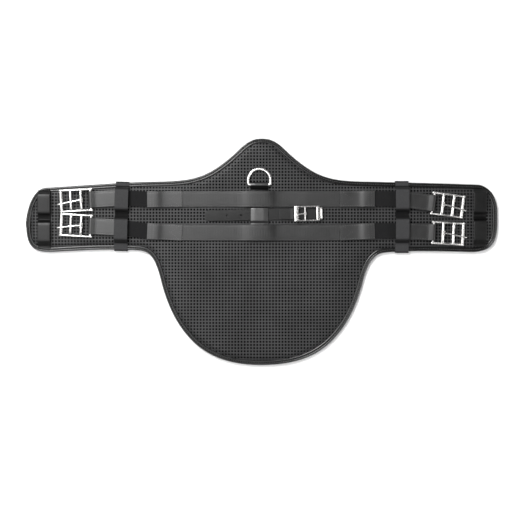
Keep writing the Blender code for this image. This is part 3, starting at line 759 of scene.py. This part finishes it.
def depth_inside(x, y):
    """How far inside the outline each point of two arrays lies; negative outside."""
    loop = [(p.x, p.y) for p in outline(0.0, COARSE_STEPS)]
    nearest = np.full(x.shape, 1e9)
    inside = np.zeros(x.shape, bool)
    for (ax, ay), (bx, by) in zip(loop, loop[1:] + loop[:1]):
        dx, dy = bx - ax, by - ay
        share = np.clip(((x - ax) * dx + (y - ay) * dy) / (dx * dx + dy * dy), 0.0, 1.0)
        nearest = np.minimum(nearest, np.hypot(x - ax - share * dx, y - ay - share * dy))
        if dy:
            inside ^= ((ay > y) != (by > y)) & (x < ax + (y - ay) * dx / dy)
    return np.where(inside, nearest, -nearest)


def held_down(x, y, depth):
    """Where the panel can't puff up: near its binding, and under the straps, bands, keepers and buckles."""
    rows = (abs(x) < 312.0) & ((abs(y - FRONT_ROW_Y) < 19.0) | (abs(y - REAR_ROW_Y - 3.0) < 21.0))
    ends = abs(x) > END_KEEPER_X - 29.0
    keepers = abs(abs(x) - 210.0) < ARM_KEEPER_W / 2 + 4.0
    band = (abs(x - BAND_X) < BAND_W / 2 + 4.0) & (y > 15.0) & (y < 110.0)
    guard = (x > 25.0) & (x < 95.0) & (abs(y - SMALL_Y) < 15.0)
    return rows | ends | keepers | band | guard | (depth < FULL_INSET + 3.0)


def all_four(corners):
    """Which cells of a grid have all four corners."""
    return corners[:-1, :-1] & corners[1:, :-1] & corners[:-1, 1:] & corners[1:, 1:]


def crown_field():
    """How far the padding lifts the panel's face, from a cloth simulation: (x lines, y lines, heights)."""
    xs = np.arange(-360.0, 361.0, CROWN_GRID)
    ys = np.arange(-174.0, 180.0, CROWN_GRID)
    x, y = np.meshgrid(xs, ys, indexing="ij")
    depth = depth_inside(x, y)
    heights = np.zeros(x.shape)
    fixed = held_down(x, y, depth)
    faces = all_four(depth > RIM_INSET)
    used = np.zeros(x.shape, bool)
    for i, j in np.argwhere(faces):
        used[i:i + 2, j:j + 2] = True
    order = {tuple(ij): n for n, ij in enumerate(np.argwhere(used))}
    half = 1.5
    vertices = [(x[ij] * MM, y[ij] * MM, z * MM) for z in (half, -half) for ij in order]
    count = len(order)
    quads, walls = [], {}
    for i, j in np.argwhere(faces):
        ring = [order[i, j], order[i + 1, j], order[i + 1, j + 1], order[i, j + 1]]
        quads += [ring, [n + count for n in reversed(ring)]]
        for a, b in zip(ring, ring[1:] + ring[:1]):
            walls[a, b] = (b, a) not in walls
            if not walls[a, b]:
                walls[b, a] = False
    quads += [[a, a + count, b + count, b] for (a, b), alone in walls.items() if alone]
    mesh = bpy.data.meshes.new("crown")
    mesh.from_pydata(vertices, [], quads)
    obj = add("crown", mesh)
    pins = obj.vertex_groups.new(name="pins")
    pins.add([n for ij, n in order.items() if fixed[ij]] + list(range(count, 2 * count)), 1.0, "REPLACE")
    cloth = obj.modifiers.new("cloth", "CLOTH")
    cloth.settings.vertex_group_mass = "pins"
    cloth.settings.use_pressure = True
    cloth.settings.uniform_pressure_force = CROWN_PRESSURE
    cloth.settings.effector_weights.gravity = 0.0
    cloth.settings.quality = 6
    scene = bpy.context.scene
    for number in range(1, CROWN_FRAMES + 1):
        scene.frame_set(number)
    swollen = obj.evaluated_get(bpy.context.evaluated_depsgraph_get()).data
    for ij, n in order.items():
        heights[ij] = swollen.vertices[n].co.z / MM - half
    scene.frame_set(1)
    bpy.data.objects.remove(obj)
    return xs, ys, CROWN_CAP * np.tanh(np.maximum(heights, 0.0) / CROWN_CAP)


def read_field(field, x, y):
    """Bilinear reading of a height field."""
    xs, ys, heights = field
    u = np.clip((x - xs[0]) / CROWN_GRID, 0, len(xs) - 1.001)
    v = np.clip((y - ys[0]) / CROWN_GRID, 0, len(ys) - 1.001)
    i, j = u.astype(int), v.astype(int)
    s, t = u - i, v - j
    return ((1 - s) * (1 - t) * heights[i, j] + s * (1 - t) * heights[i + 1, j]
            + (1 - s) * t * heights[i, j + 1] + s * t * heights[i + 1, j + 1])


def waffle_lines(low, high):
    """Grid lines along one axis, and which of them lie on a pit's floor."""
    centres = (np.arange(math.floor(low / PITCH), math.ceil(high / PITCH) + 1) + 0.5) * PITCH
    lines = (centres[:, None] + np.array([-PIT_TOP, -PIT_FLOOR, PIT_FLOOR, PIT_TOP])).ravel()
    floor = np.tile([False, True, True, False], len(centres))
    return lines, floor


def whole_cells(depth):
    """The waffle cells that lie inside the rim, without any pair that meets only at a corner."""
    cells = all_four(depth[::4, ::4] > RIM_INSET + 0.3)
    while True:
        a, b = cells[:-1, :-1] & cells[1:, 1:], cells[1:, :-1] | cells[:-1, 1:]
        c, d = cells[1:, :-1] & cells[:-1, 1:], cells[:-1, :-1] | cells[1:, 1:]
        bad = (a & ~b), (c & ~d)
        if not (bad[0].any() or bad[1].any()):
            return cells
        cells[:-1, :-1] &= ~bad[0]
        cells[1:, :-1] &= ~bad[1]


def build_panel(bm, field):
    """The padded panel: a waffled face with square pits, a thin rim, and the padding's underside."""
    low, high = box("outer_panel")
    xs, floor_x = waffle_lines(low.x, high.x)
    ys, floor_y = waffle_lines(low.y, high.y)
    x, y = np.meshgrid(xs, ys, indexing="ij")
    depth = depth_inside(x, y)
    slope = np.clip((depth - FLAT_INSET + 1.0) / (FULL_INSET - FLAT_INSET), 0.0, 1.0)
    z = RIM_TOP + (PANEL_TOP - RIM_TOP) * slope * slope * (3 - 2 * slope) + read_field(field, x, y)
    pit = floor_x[:, None] & floor_y[None, :] & (depth > PIT_MARGIN)
    z -= PIT_DEPTH * pit
    cells = whole_cells(depth)
    used = {}

    def vertex(i, j):
        if (i, j) not in used:
            used[i, j] = bm.verts.new((x[i, j], y[i, j], z[i, j]))
        return used[i, j]

    for ci, cj in np.argwhere(cells):
        for i in range(4 * ci, 4 * ci + 4):
            for j in range(4 * cj, 4 * cj + 4):
                corners = ((i, j), (i + 1, j), (i + 1, j + 1), (i, j + 1))
                face = bm.faces.new([vertex(*corner) for corner in corners])
                # faces that reach a pit's floor take the second look, painted shade
                face.material_index = int(pit[i:i + 2, j:j + 2].any())
    ragged = [edge for edge in bm.edges if edge.is_boundary]
    under = ((RIM_INSET, RIM_TOP), (RIM_INSET, RIM_LOW), (FLAT_INSET, RIM_LOW), (10.5, 3.3),
             (FULL_INSET, 1.5))
    loops = [[bm.verts.new((p.x, p.y, height)) for p in outline(inset)] for inset, height in under]
    count = len(loops[0])
    for upper, lower in zip(loops, loops[1:]):
        for i in range(count):
            j = (i + 1) % count
            bm.faces.new((upper[i], lower[i], lower[j], upper[j]))
    base = bm.faces.new(loops[-1])
    rim = [bm.edges.get((loops[0][i], loops[0][(i + 1) % count])) for i in range(count)]
    bmesh.ops.triangulate(bm, faces=[base])
    bmesh.ops.triangle_fill(bm, use_beauty=True, use_dissolve=False, edges=ragged + rim)


def build_lining(bm):
    """The horse side: a soft sheet, flat where it lies and lifted into the binding."""
    rings = ((FULL_INSET, 0.0), (11.5, 0.9), (FLAT_INSET, 2.5), (6.0, 2.8), (RIM_INSET, 2.8),
             (RIM_INSET, 4.0), (6.0, 4.0), (FLAT_INSET, 3.8), (11.5, 2.1), (FULL_INSET, 1.2))
    loft(bm, [[(p.x, p.y, z) for p in outline(inset)] for inset, z in rings])


def build_lap(bm):
    """The binding's end, whose section is grown by LAP_T round its middle."""
    middle = Vector((3.5, 4.25))
    grown = [Vector(corner) + (Vector(corner) - middle).normalized() * LAP_T for corner in BINDING_SECTION]
    low, high = LAP_Y
    rails = [outline(inset) for inset, _ in grown]
    span = [i for i, p in enumerate(outline()) if p.x < LAP_X and low < p.y < high]
    loft(bm, [[(rail[i].x, rail[i].y, z) for rail, (_, z) in zip(rails, grown)] for i in span])


def build_binding(bm):
    """A folded strip round the edge: a rolled bead, a stitched groove and a second, lower ridge."""
    rails = [[(p.x, p.y, z) for p in outline(inset)] for inset, z in BINDING_SECTION]
    loft(bm, list(zip(*rails)), closed=True)
    for i, face in enumerate(bm.faces):
        # the groove's faces take the dark look: painted shade
        if i % len(BINDING_SECTION) in BINDING_SHADED:
            face.material_index = DYE_AND_SHADE
    build_lap(bm)
    inset, height = BINDING_STITCHES
    groove = [Vector((p.x, p.y, height)) for p in outline(inset)]
    stitch_row(bm, groove + groove[:1], inset=0.0)


def make_panel():
    field = crown_field()
    panel = piece("padded_panel", to_mesh("padded_panel", lambda bm: build_panel(bm, field), 50.0), "face",
                  ["outer_panel", "padding"], "girth")
    lining = piece("soft_lining", to_mesh("soft_lining", build_lining), "lining", ["lining"], "girth")
    area = abs(polygon_area(outline(RIM_INSET))) * MM * MM
    piece("folded_binding", to_mesh("folded_binding", build_binding), "binding", ["edge_binding"], "girth")


def polygon_area(loop):
    return sum(a.x * b.y - b.x * a.y for a, b in zip(loop, loop[1:] + loop[:1])) / 2


# ---- straps
def strap_path(row, left_y, right_y):
    """From mouth to mouth, with a rise over the centre band."""
    high = BAND_UPPER_Z + BAND_T / 2 + GAP + STRAP_T / 2
    middle = BAND_X - HARDWARE_X
    half = BAND_W / 2 + 2.5
    return [
        (-MOUTH_X, left_y - row, STRAP_Z),
        (-TAB_SEAM_X, 0, STRAP_Z),
        (middle - half - STRAP_RUN, 0, STRAP_Z),
        (middle - half, 0, high),
        (middle + half, 0, high),
        (middle + half + STRAP_RUN, 0, STRAP_Z),
        (TAB_SEAM_X, 0, STRAP_Z),
        (MOUTH_X, right_y - row, STRAP_Z),
    ]


def make_straps():
    for name, row, seed in (("front_strap", FRONT_ROW_Y, 0.4), ("rear_strap", REAR_ROW_Y, 2.3)):
        mouths = {side: mouth for side, end_row, mouth, _, _ in STRAP_ENDS.values() if end_row == row}
        path = relaxed(spaced(rounded(strap_path(row, mouths[-1], mouths[1])), 2.5), 0.1, seed)

        def build(bm, path=path):
            sweep(bm, path, strap_section(STRAP_W, STRAP_T))

        piece(f"{name}_leather", dyed_and_shaded_edges(to_mesh(name, build)), "strap", [name], "girth",
              at=(HARDWARE_X, row, 0))


def tab_path():
    low = STRAP_Z + (STRAP_T + TAB_T) / 2 + GAP
    high = ELASTIC_Z + (ELASTIC_T + TAB_T) / 2 + GAP
    length = MOUTH_X - TAB_SEAM_X
    step = length - ELASTIC_IN_TAB
    return [(0, 0, low), (step - 10.0, 0, low), (step - 1.0, 0, high), (length, 0, high)]


def build_tab(bm):
    """A tab with rows along its edges, across its seam and its mouth, and a cross between them."""
    path = spaced(rounded(tab_path()), 2.0)
    sweep(bm, path, strap_section(STRAP_W, TAB_T))
    start, end = path[0], path[-1]
    half = STRAP_W / 2 - STITCH_LINE
    lift = TAB_T / 2 - STITCH_SUNK
    height = start.z + lift
    for side in (-1, 1):
        stitch_row(bm, [p + Vector((0, side * half, lift)) for p in path])
        stitch_row(bm, [(start.x + 4.0, -side * half, height), (end.x - 21.0, side * half, height)])
    for u, z in ((start.x + 2.5, start.z), (end.x - 4.5, end.z), (end.x - 9.0, end.z)):
        stitch_row(bm, [(u, -half, z + lift), (u, half, z + lift)], inset=0.0)


def build_insert(bm, length):
    path = spaced([(1.0 - ELASTIC_IN_TAB, 0, ELASTIC_Z), (length + CHAPE_GRIP, 0, ELASTIC_Z)], 2.0)
    sweep(bm, path, ribbed_section(ELASTIC_W, ELASTIC_T, 18, 0.14))


def build_chape(bm):
    """Leather turned back round the hinge bar, stitched through both layers behind it."""
    u, z = HINGE_BAR
    radius = HINGE_BAR_R + GAP + CHAPE_T / 2
    path = [
        (-CHAPE_LAP, CHAPE_LOWER_Z), (u - 6.0, CHAPE_LOWER_Z),
        *fold((u, z), radius, 100),
        (u - 4.5, CHAPE_UPPER_Z + 0.6), (u - 8.0, CHAPE_UPPER_Z), (u - 14.0, CHAPE_UPPER_Z),
        (-CHAPE_LAP, CHAPE_UPPER_Z),
    ]
    section = [(a, -b) for a, b in strap_section(CHAPE_W, CHAPE_T)]
    sweep(bm, spaced(rounded(lengthways(path), 1), 0.9), section)
    top = CHAPE_UPPER_Z + CHAPE_T / 2 - STITCH_SUNK
    half = CHAPE_W / 2 - STITCH_LINE
    for side in (-1, 1):
        stitch_row(bm, [(-CHAPE_LAP, side * half, top), (u - 10.0, side * half, top)])
    for row_u in (u - 10.0, CHAPE_LAP):
        stitch_row(bm, [(row_u, -half, top), (row_u, half, top)], inset=0.0)


# ---- roller buckles
def offset(place, bar):
    """A place in a buckle, (along, height), from one of its bars."""
    return place[0] - bar[0], place[1] - bar[1]


def buckle_frame_mesh():
    """Two bowed side bars with ball ends and corner knobs, and four cross bars."""
    hinge, tongue_bar, middle, axle = (
        offset(place, HINGE_BAR) for place in (HINGE_BAR, TONGUE_BAR, MIDDLE_BAR, ROLLER_AXLE))
    bow = [(-1.9, -0.2), (2.0, 0.1), (8.0, 0.9), tongue_bar, (22.0, 1.9), middle, (37.0, 0.7), axle,
           (axle[0] + 2.2, axle[1] - 0.3)]
    bars = ((hinge, HINGE_BAR_R), (tongue_bar, CROSS_BAR_R), (middle, CROSS_BAR_R), (axle, AXLE_R))

    def side_bar(v):
        path = rounded([(u, v, z) for u, z in bow])
        return lambda bm: sweep(bm, path, oval(2.9, 3.3, 16))

    def end_ball(v):
        return lambda bm: ball(bm, (-1.2, v, -0.15), (2.3, 2.0, 2.1))

    def knob(v):
        return lambda bm: ball(bm, (axle[0] + 0.2, v, axle[1]), (2.9, 2.05, 2.5))

    def cross_bar(place, radius):
        return lambda bm: rod(bm, *place, radius, SIDE_BAR_V)

    builders = [side_bar(SIDE_BAR_V), side_bar(-SIDE_BAR_V)]
    for v in (SIDE_BAR_V, -SIDE_BAR_V):
        builders += [end_ball(v), knob(v)]
    builders += [cross_bar(*bar) for bar in bars]
    return joined("buckle_frame", builders, sharp=45.0)


def build_eye(bm, radius, bore, half_length, turns):
    """A wire eye, rolled in turns round its bar."""
    steps = 10 * turns
    profile = [(half_length, bore), (-half_length, bore)]
    for k in range(steps + 1):
        along = -half_length + 2 * half_length * k / steps
        bulge = abs(math.sin(math.pi * turns * k / steps)) ** 0.6
        profile.append((along, bore + 0.25 + (radius - bore - 0.25) * bulge))
    turned(bm, profile)


def tongue_mesh(skew):
    """A wire tongue on its rolled eye, drawn out to a blunt tip."""
    clear = GAP + TONGUE_WIRE_R
    top = CROSS_BAR_R + clear + 0.05
    middle, over_middle = offset((MIDDLE_BAR[0], MIDDLE_BAR[1] + CROSS_BAR_R + clear), TONGUE_BAR)
    reach, on_roller = offset((ROLLER_AXLE[0], ROLLER_AXLE[1] + ROLLER_R + clear), TONGUE_BAR)
    path = rounded([
        (-1.2, 0.0, top - 0.25), (0.0, 0.0, top), (5.0, 0.4 * skew, top + 0.35),
        (middle, 1.9 * skew, over_middle + 0.2), (reach, 4.2 * skew, on_roller + 0.25),
        (reach + 5.8, 5.0 * skew, on_roller - 0.8),
    ])
    taper = [(1.0, 1.0)] * (len(path) - 3) + [(0.95, 0.95), (0.8, 0.8), (0.5, 0.5)]
    return joined("buckle_tongue", [
        lambda bm: build_eye(bm, TONGUE_EYE_R, CROSS_BAR_R + GAP, TONGUE_EYE_W / 2, 3),
        lambda bm: sweep(bm, path, circle(TONGUE_WIRE_R, 16), taper=taper),
    ], sharp=50.0)


def build_roller(bm, radius, bore, half_length):
    """A tube with rolled ends and a fine joint line near each of them."""
    end = ((0.0, bore), (0.0, radius - 0.45), (0.15, radius - 0.12), (0.45, radius),
           (1.6, radius), (1.8, radius - 0.15), (2.0, radius))
    profile = [(half_length - inset, r) for inset, r in end]
    turned(bm, profile + [(-along, r) for along, r in reversed(profile)])


def make_buckle(name, frame_shape, tongue, roller, turn):
    """A buckle's three metal pieces, each on its own joint."""
    for new, mesh, node, body, joint in (
        ("roller_buckle", frame_shape, "buckle_frame", "buckle", "buckle_lift"),
        ("wire_tongue", tongue, "buckle_tongue", "tongue", "tongue_swing"),
        ("free_roller", roller, "buckle_roller", "roller", "roller_spin"),
    ):
        piece(f"{name}_{new}", mesh, "metal", [f"{name}_{node}"], f"{name}_{body}",
              joint_place(f"{name}_{joint}"), turn)


def heading(start, end):
    return math.degrees(math.atan2(end.y - start.y, end.x - start.x))


def make_strap_ends():
    frame_shape = buckle_frame_mesh()
    for name, (side, row, mouth_y, root_y, angle) in STRAP_ENDS.items():
        seam = Vector((HARDWARE_X + side * TAB_SEAM_X, row, 0))
        mouth = Vector((HARDWARE_X + side * MOUTH_X, mouth_y, 0))
        root = Vector((side * ROOT_X, root_y, 0))
        turn = side * angle + (0.0 if side > 0 else 180.0)
        piece(f"{name}_stitched_tab", dyed_and_shaded_edges(to_mesh("tab", build_tab)), "chape", [f"{name}_tab"],
              "girth", seam, heading(seam, mouth))
        length = (root - mouth).length
        insert = piece(f"{name}_elastic_insert", to_mesh("insert", lambda bm, n=length: build_insert(bm, n)),
                       "insert", [f"{name}_elastic"], at=mouth, turn=heading(mouth, root))
        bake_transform(insert)
        piece(f"{name}_folded_chape", dyed_and_shaded_edges(to_mesh("chape", build_chape)), "chape", [f"{name}_chape"],
              f"{name}_chape", root, turn)
        roller = to_mesh("roller", lambda bm: build_roller(bm, ROLLER_R, AXLE_R + GAP, ROLLER_LENGTH / 2))
        make_buckle(name, frame_shape.copy(), tongue_mesh(-side), roller, turn)


# ---- keepers
def arches(loops, foot_z, top_z):
    """(y, z) points of loops that each stand on two feet, from front to rear."""
    rise = top_z - foot_z

    def leg(foot, shoulder, out):
        return [
            (foot, foot_z), (shoulder + 0.8 * out, foot_z + 0.45 * rise), (shoulder, foot_z + 0.75 * rise),
            (shoulder - 2.5 * out, top_z - 0.07 * rise), (shoulder - 6.0 * out, top_z),
        ]

    path = []
    for front_foot, front_shoulder, rear_shoulder, rear_foot in loops:
        path += leg(front_foot, front_shoulder, 1) + leg(rear_foot, rear_shoulder, -1)[::-1]
    return path


def edges_y(x):
    """Y of the panel's front and rear edges at x, on an arm."""
    loop = outline(0.0, COARSE_STEPS)
    crossings = []
    for a, b in zip(loop, loop[1:] + loop[:1]):
        if (a.x - x) * (b.x - x) <= 0 and a.x != b.x:
            crossings.append(a.y + (b.y - a.y) * (x - a.x) / (b.x - a.x))
    return max(crossings), min(crossings)


def build_arm_keeper(bm, side):
    front, rear = edges_y(ARM_KEEPER_X[side])
    foot = PANEL_TOP + GAP + ARM_KEEPER_T / 2
    tucked = ARM_KEEPER_T / 2 + 0.1

    def wrap(edge, out):
        return [
            (edge - out * 7.0, tucked), (edge - out * 0.6, tucked), (edge + out * 1.4, 2.4),
            (edge + out * 1.7, 5.2), (edge + out * 0.6, 7.6), (edge - out * 1.6, foot - 0.1),
        ]

    path = wrap(front, 1) + arches(ARM_LOOPS, foot, ARM_KEEPER_TOP) + wrap(rear, -1)[::-1]
    points = spaced(rounded(crossways(path), 1), 1.4)
    sweep(bm, points, ribbed_section(ARM_KEEPER_W, ARM_KEEPER_T, 12, 0.16), (1, 0, 0))


def build_end_keeper(bm):
    foot = PANEL_TOP + GAP + END_KEEPER_T / 2
    path = arches(END_LOOPS, foot, END_KEEPER_TOP) + [(7.5, foot)]
    points = spaced(rounded(crossways(path)), 1.2)
    sweep(bm, points, strap_section(END_KEEPER_W, END_KEEPER_T, 0.1, 1.9), (1, 0, 0))


def make_keepers():
    for name, side in (("left", -1), ("right", 1)):
        arm_keeper = to_mesh("arm_keeper", lambda bm, side=side: build_arm_keeper(bm, side))
        piece(f"{name}_elastic_keeper", arm_keeper, "arm_keeper", [f"{name}_arm_keeper"], "girth",
              (ARM_KEEPER_X[side], 0, 0), ARM_KEEPER_TURN[side])
        piece(f"{name}_leather_keeper", to_mesh("end_keeper", build_end_keeper), "keeper",
              [f"{name}_end_keeper"], "girth", (side * END_KEEPER_X, side, 0))


# ---- centre band and dee ring
def build_centre_band(bm):
    """From its rear end up round the dee's bar and back, with a loop over the small strap."""
    dee = joint_place("dee_ring_swing")
    radius = DEE_WIRE_R + GAP + BAND_T / 2
    path = [
        (BAND_END_Y, BAND_LOWER_Z), (dee.y - 4.0, BAND_LOWER_Z),
        *fold((dee.y, dee.z), radius, 105),
        (dee.y - 3.8, dee.z + 1.2), (dee.y - 6.0, BAND_UPPER_Z + 0.4), (dee.y - 7.4, BAND_UPPER_Z),
        (67.6, BAND_UPPER_Z), (66.5, BAND_UPPER_Z + 0.5), (66.1, BAND_LOOP_Z - 0.7), (65.0, BAND_LOOP_Z),
        (48.5, BAND_LOOP_Z), (46.2, BAND_LOOP_Z - 0.5), (44.4, BAND_UPPER_Z + 0.6), (43.0, BAND_UPPER_Z),
        (BAND_END_Y, BAND_UPPER_Z),
    ]
    section = [(a, -b) for a, b in strap_section(BAND_W, BAND_T, 0.08, 1.9)]
    sweep(bm, spaced(rounded(crossways(path), 1), 0.8), section, (1, 0, 0))


def build_dee(bm):
    """A wire dee about its straight bar, with its bow along +Y."""
    inner = DEE_BOW_R - DEE_CORNER_R
    corner = [
        (inner + DEE_CORNER_R * math.sin(a), DEE_CORNER_R * (1 - math.cos(a)), 0)
        for a in (math.radians(15 * k) for k in range(7))
    ]
    bow = [(x, DEE_BOW_Y + y, 0) for x, y in circle(DEE_BOW_R, 96)[:49]]
    path = corner + bow + [(-x, y, z) for x, y, z in reversed(corner)]
    sweep(bm, path, circle(DEE_WIRE_R, 18), (0, 0, 1), closed=True)


def make_centre_band():
    piece("looped_centre_band", to_mesh("centre_band", build_centre_band), "band", ["centre_band"], "girth",
          (BAND_X, 0, 0))
    piece("wire_dee", to_mesh("dee", build_dee, 60.0), "metal", ["dee_ring"], "dee_ring",
          joint_place("dee_ring_swing"), -DEE_SAG, "X")


# ---- small strap and buckle
def small_strap_mesh():
    """A punched strap with a pointed tip, its other end turned over the small buckle's rod."""
    u, z = SMALL_ROD
    radius = SMALL_ROD_R + GAP + SMALL_T / 2
    upper = SMALL_Z + SMALL_T + GAP
    path = [
        (SMALL_TIP_U, SMALL_Z), (u - 5.0, SMALL_Z),
        *fold((u, z), radius, 100),
        (u - 2.6, z + 1.5), (u - 5.2, upper + 0.6), (u - 8.0, upper), (u - 12.0, upper), (SMALL_LAP_U, upper),
    ]
    points = spaced(rounded(lengthways(path), 1), 1.2)
    pointed = [(min(1.0, 0.64 + 0.36 * (p.x - SMALL_TIP_U) / SMALL_POINT), 1.0) for p in points]

    def strap(bm):
        sweep(bm, points, strap_section(SMALL_W, SMALL_T, 0.1, 1.8), taper=pointed)

    def hole(at):
        drill = [(at, 0, SMALL_Z - 3), (at, 0, SMALL_Z + 1.05)]
        return lambda bm: sweep(bm, drill, circle(HOLE_R, 24), (1, 0, 0))

    return joined("small_strap", [strap], [hole(at) for at in SMALL_HOLES_U], sharp=30.0)


def small_frame_mesh():
    """A small buckle frame about its rod: a plate over it, a tongue bar and a roller axle on two ears."""
    tongue_bar, axle = offset(SMALL_BAR, SMALL_ROD), offset(SMALL_ROLLER_AXLE, SMALL_ROD)
    bow = [(0.4, 3.4), (6.0, 3.0), tongue_bar, (23.0, 1.2), (33.5, 0.5)]
    wide = SMALL_SIDE_V + 0.9

    def bar(path, section, side=(0, 1, 0)):
        return lambda bm: sweep(bm, rounded(path), section, side)

    def plate(u, z, middle_z, section):
        return bar([(u, -wide, z), (u, 0, middle_z), (u, wide, z)], section, (1, 0, 0))

    builders = []
    for v in (SMALL_SIDE_V, -SMALL_SIDE_V):
        builders.append(bar([(u, v, z) for u, z in bow], oval(2.0, 2.8, 16)))
        builders.append(bar([(0, v, -1.6), (0, v, 2.0), (0, v, 4.9)], oval(2.6, 2.0, 16), (1, 0, 0)))
    builders.append(plate(0, 4.5, 4.75, oval(6.2, 1.3, 24, 0.5)))
    builders.append(plate(32, 0.3, 0.45, oval(4.4, 1.9, 24, 0.6)))
    for v in (SMALL_ROLLER_LENGTH / 2 + 1.2, -SMALL_ROLLER_LENGTH / 2 - 1.2):
        builders.append(bar([(32.4, v, 0.2), (35, v, 0.1), (axle[0] + 1.3, v, 0.0)], oval(1.8, 2.6, 16)))
    builders.append(lambda bm: rod(bm, 0, 0, SMALL_ROD_R, SMALL_SIDE_V))
    builders.append(lambda bm: rod(bm, *tongue_bar, SMALL_BAR_R, SMALL_SIDE_V))
    builders.append(lambda bm: rod(bm, *axle, SMALL_AXLE_R, SMALL_ROLLER_LENGTH / 2 + 1.7))
    return joined("small_frame", builders, sharp=40.0)


def small_tongue_mesh():
    """A short wire tongue that points back at the plate over the rod."""
    eye_r, wire_r = 2.5, 0.9
    clear = GAP + wire_r
    reach, plate_top = offset((SMALL_ROD[0], SMALL_ROD[1] + 5.25), SMALL_BAR)
    on_plate = plate_top + clear
    path = rounded([
        (1.0, 0.0, SMALL_BAR_R + clear - 0.2), (0.0, 0.0, SMALL_BAR_R + clear + 0.05),
        (-3.5, -0.4, 3.1), (reach + 3.4, -1.3, on_plate + 0.35), (reach, -1.9, on_plate + 0.35),
        (reach - 1.9, -2.2, on_plate + 0.05),
    ])
    taper = [(1.0, 1.0)] * (len(path) - 2) + [(0.85, 0.85), (0.5, 0.5)]
    return joined("small_tongue", [
        lambda bm: build_eye(bm, eye_r, SMALL_BAR_R + GAP, 2.2, 2),
        lambda bm: sweep(bm, path, circle(wire_r, 16), taper=taper),
    ], sharp=50.0)


def build_guard(bm):
    height = PANEL_TOP + GAP + GUARD_T / 2
    path = spaced([(u, 0, height) for u in GUARD_U], 2.0)
    sweep(bm, path, strap_section(SMALL_W, GUARD_T, 0.08, 1.8))


def build_small_roller(bm):
    build_roller(bm, SMALL_ROLLER_R, SMALL_AXLE_R + GAP, SMALL_ROLLER_LENGTH / 2)


def make_small_strap():
    base = Vector((BAND_X, SMALL_Y, 0))
    for name, mesh, node in (
        # at this low lean the dark look also paints shade on the walls of the punched holes
        ("punched_small_strap", dyed_and_shaded_edges(small_strap_mesh(), 0.4), "small_strap"),
        ("small_guard_flap", to_mesh("guard", build_guard), "small_buckle_guard"),
    ):
        piece(name, mesh, "small_strap", [node], "small_strap", base, SMALL_ANGLE)
    make_buckle("small", small_frame_mesh(), small_tongue_mesh(), to_mesh("small_roller", build_small_roller),
                SMALL_ANGLE)


# ---- stage, in metres
FLOOR_HALF = 6.0
FRAME_WIDTH = 0.7845
LENS = 85.0
SENSOR = 36.0


def area_light(name, at, target, size, power):
    data = bpy.data.lights.new(name, "AREA")
    data.shape = "RECTANGLE"
    data.size, data.size_y = size
    data.energy = power
    obj = add(name, data)
    obj.location = at
    obj.rotation_euler = (Vector(target) - Vector(at)).to_track_quat("-Z", "Y").to_euler()


def make_world():
    """Pale walls under a dim ceiling."""
    world = bpy.data.worlds.new("studio")
    world.use_nodes = True
    tree = world.node_tree
    place = tree.nodes.new("ShaderNodeTexCoord")
    parts = tree.nodes.new("ShaderNodeSeparateXYZ")
    shade = tree.nodes.new("ShaderNodeValToRGB")
    for element, (height, light) in zip(shade.color_ramp.elements, ((0.25, 0.55), (0.75, 0.04))):
        element.position = height
        element.color = (light, light, light, 1.0)
    tree.links.new(place.outputs["Generated"], parts.inputs["Vector"])
    tree.links.new(parts.outputs["Z"], shade.inputs["Fac"])
    tree.links.new(shade.outputs["Color"], tree.nodes["Background"].inputs["Color"])
    bpy.context.scene.world = world


def make_stage():
    data = bpy.data.meshes.new("floor")
    corners = [(x * FLOOR_HALF, y * FLOOR_HALF, 0) for x, y in ((-1, -1), (1, -1), (1, 1), (-1, 1))]
    data.from_pydata(corners, [], [(0, 1, 2, 3)])
    floor = add("floor", data)
    floor.location.z = -0.0004
    data.materials.append(floor_look())
    make_world()
    area_light("overhead", (-0.9, 0.1, 1.95), (-0.9, 0.1, 0), (1.6, 2.2), 40.0)
    area_light("key", (-0.8, 1.3, 1.9), (0, 0, 0), (0.8, 0.8), 46.0)
    area_light("side", (1.6, -0.6, 1.3), (0.2, -0.2, 0), (1.0, 1.0), 14.0)


def make_camera():
    """Straight above the girth, with the front of the horse at the top."""
    data = bpy.data.cameras.new("camera")
    data.lens = LENS
    data.sensor_width = SENSOR
    data.clip_end = 50.0
    camera = add("camera", data)
    camera.location = (-0.00075, -0.014, FRAME_WIDTH * LENS / SENSOR)
    bpy.context.scene.camera = camera


def main():
    make_camera()
    make_stage()
    make_panel()
    make_straps()
    make_strap_ends()
    make_keepers()
    make_centre_band()
    make_small_strap()
    bpy.context.scene.view_settings.view_transform = "Standard"


main()
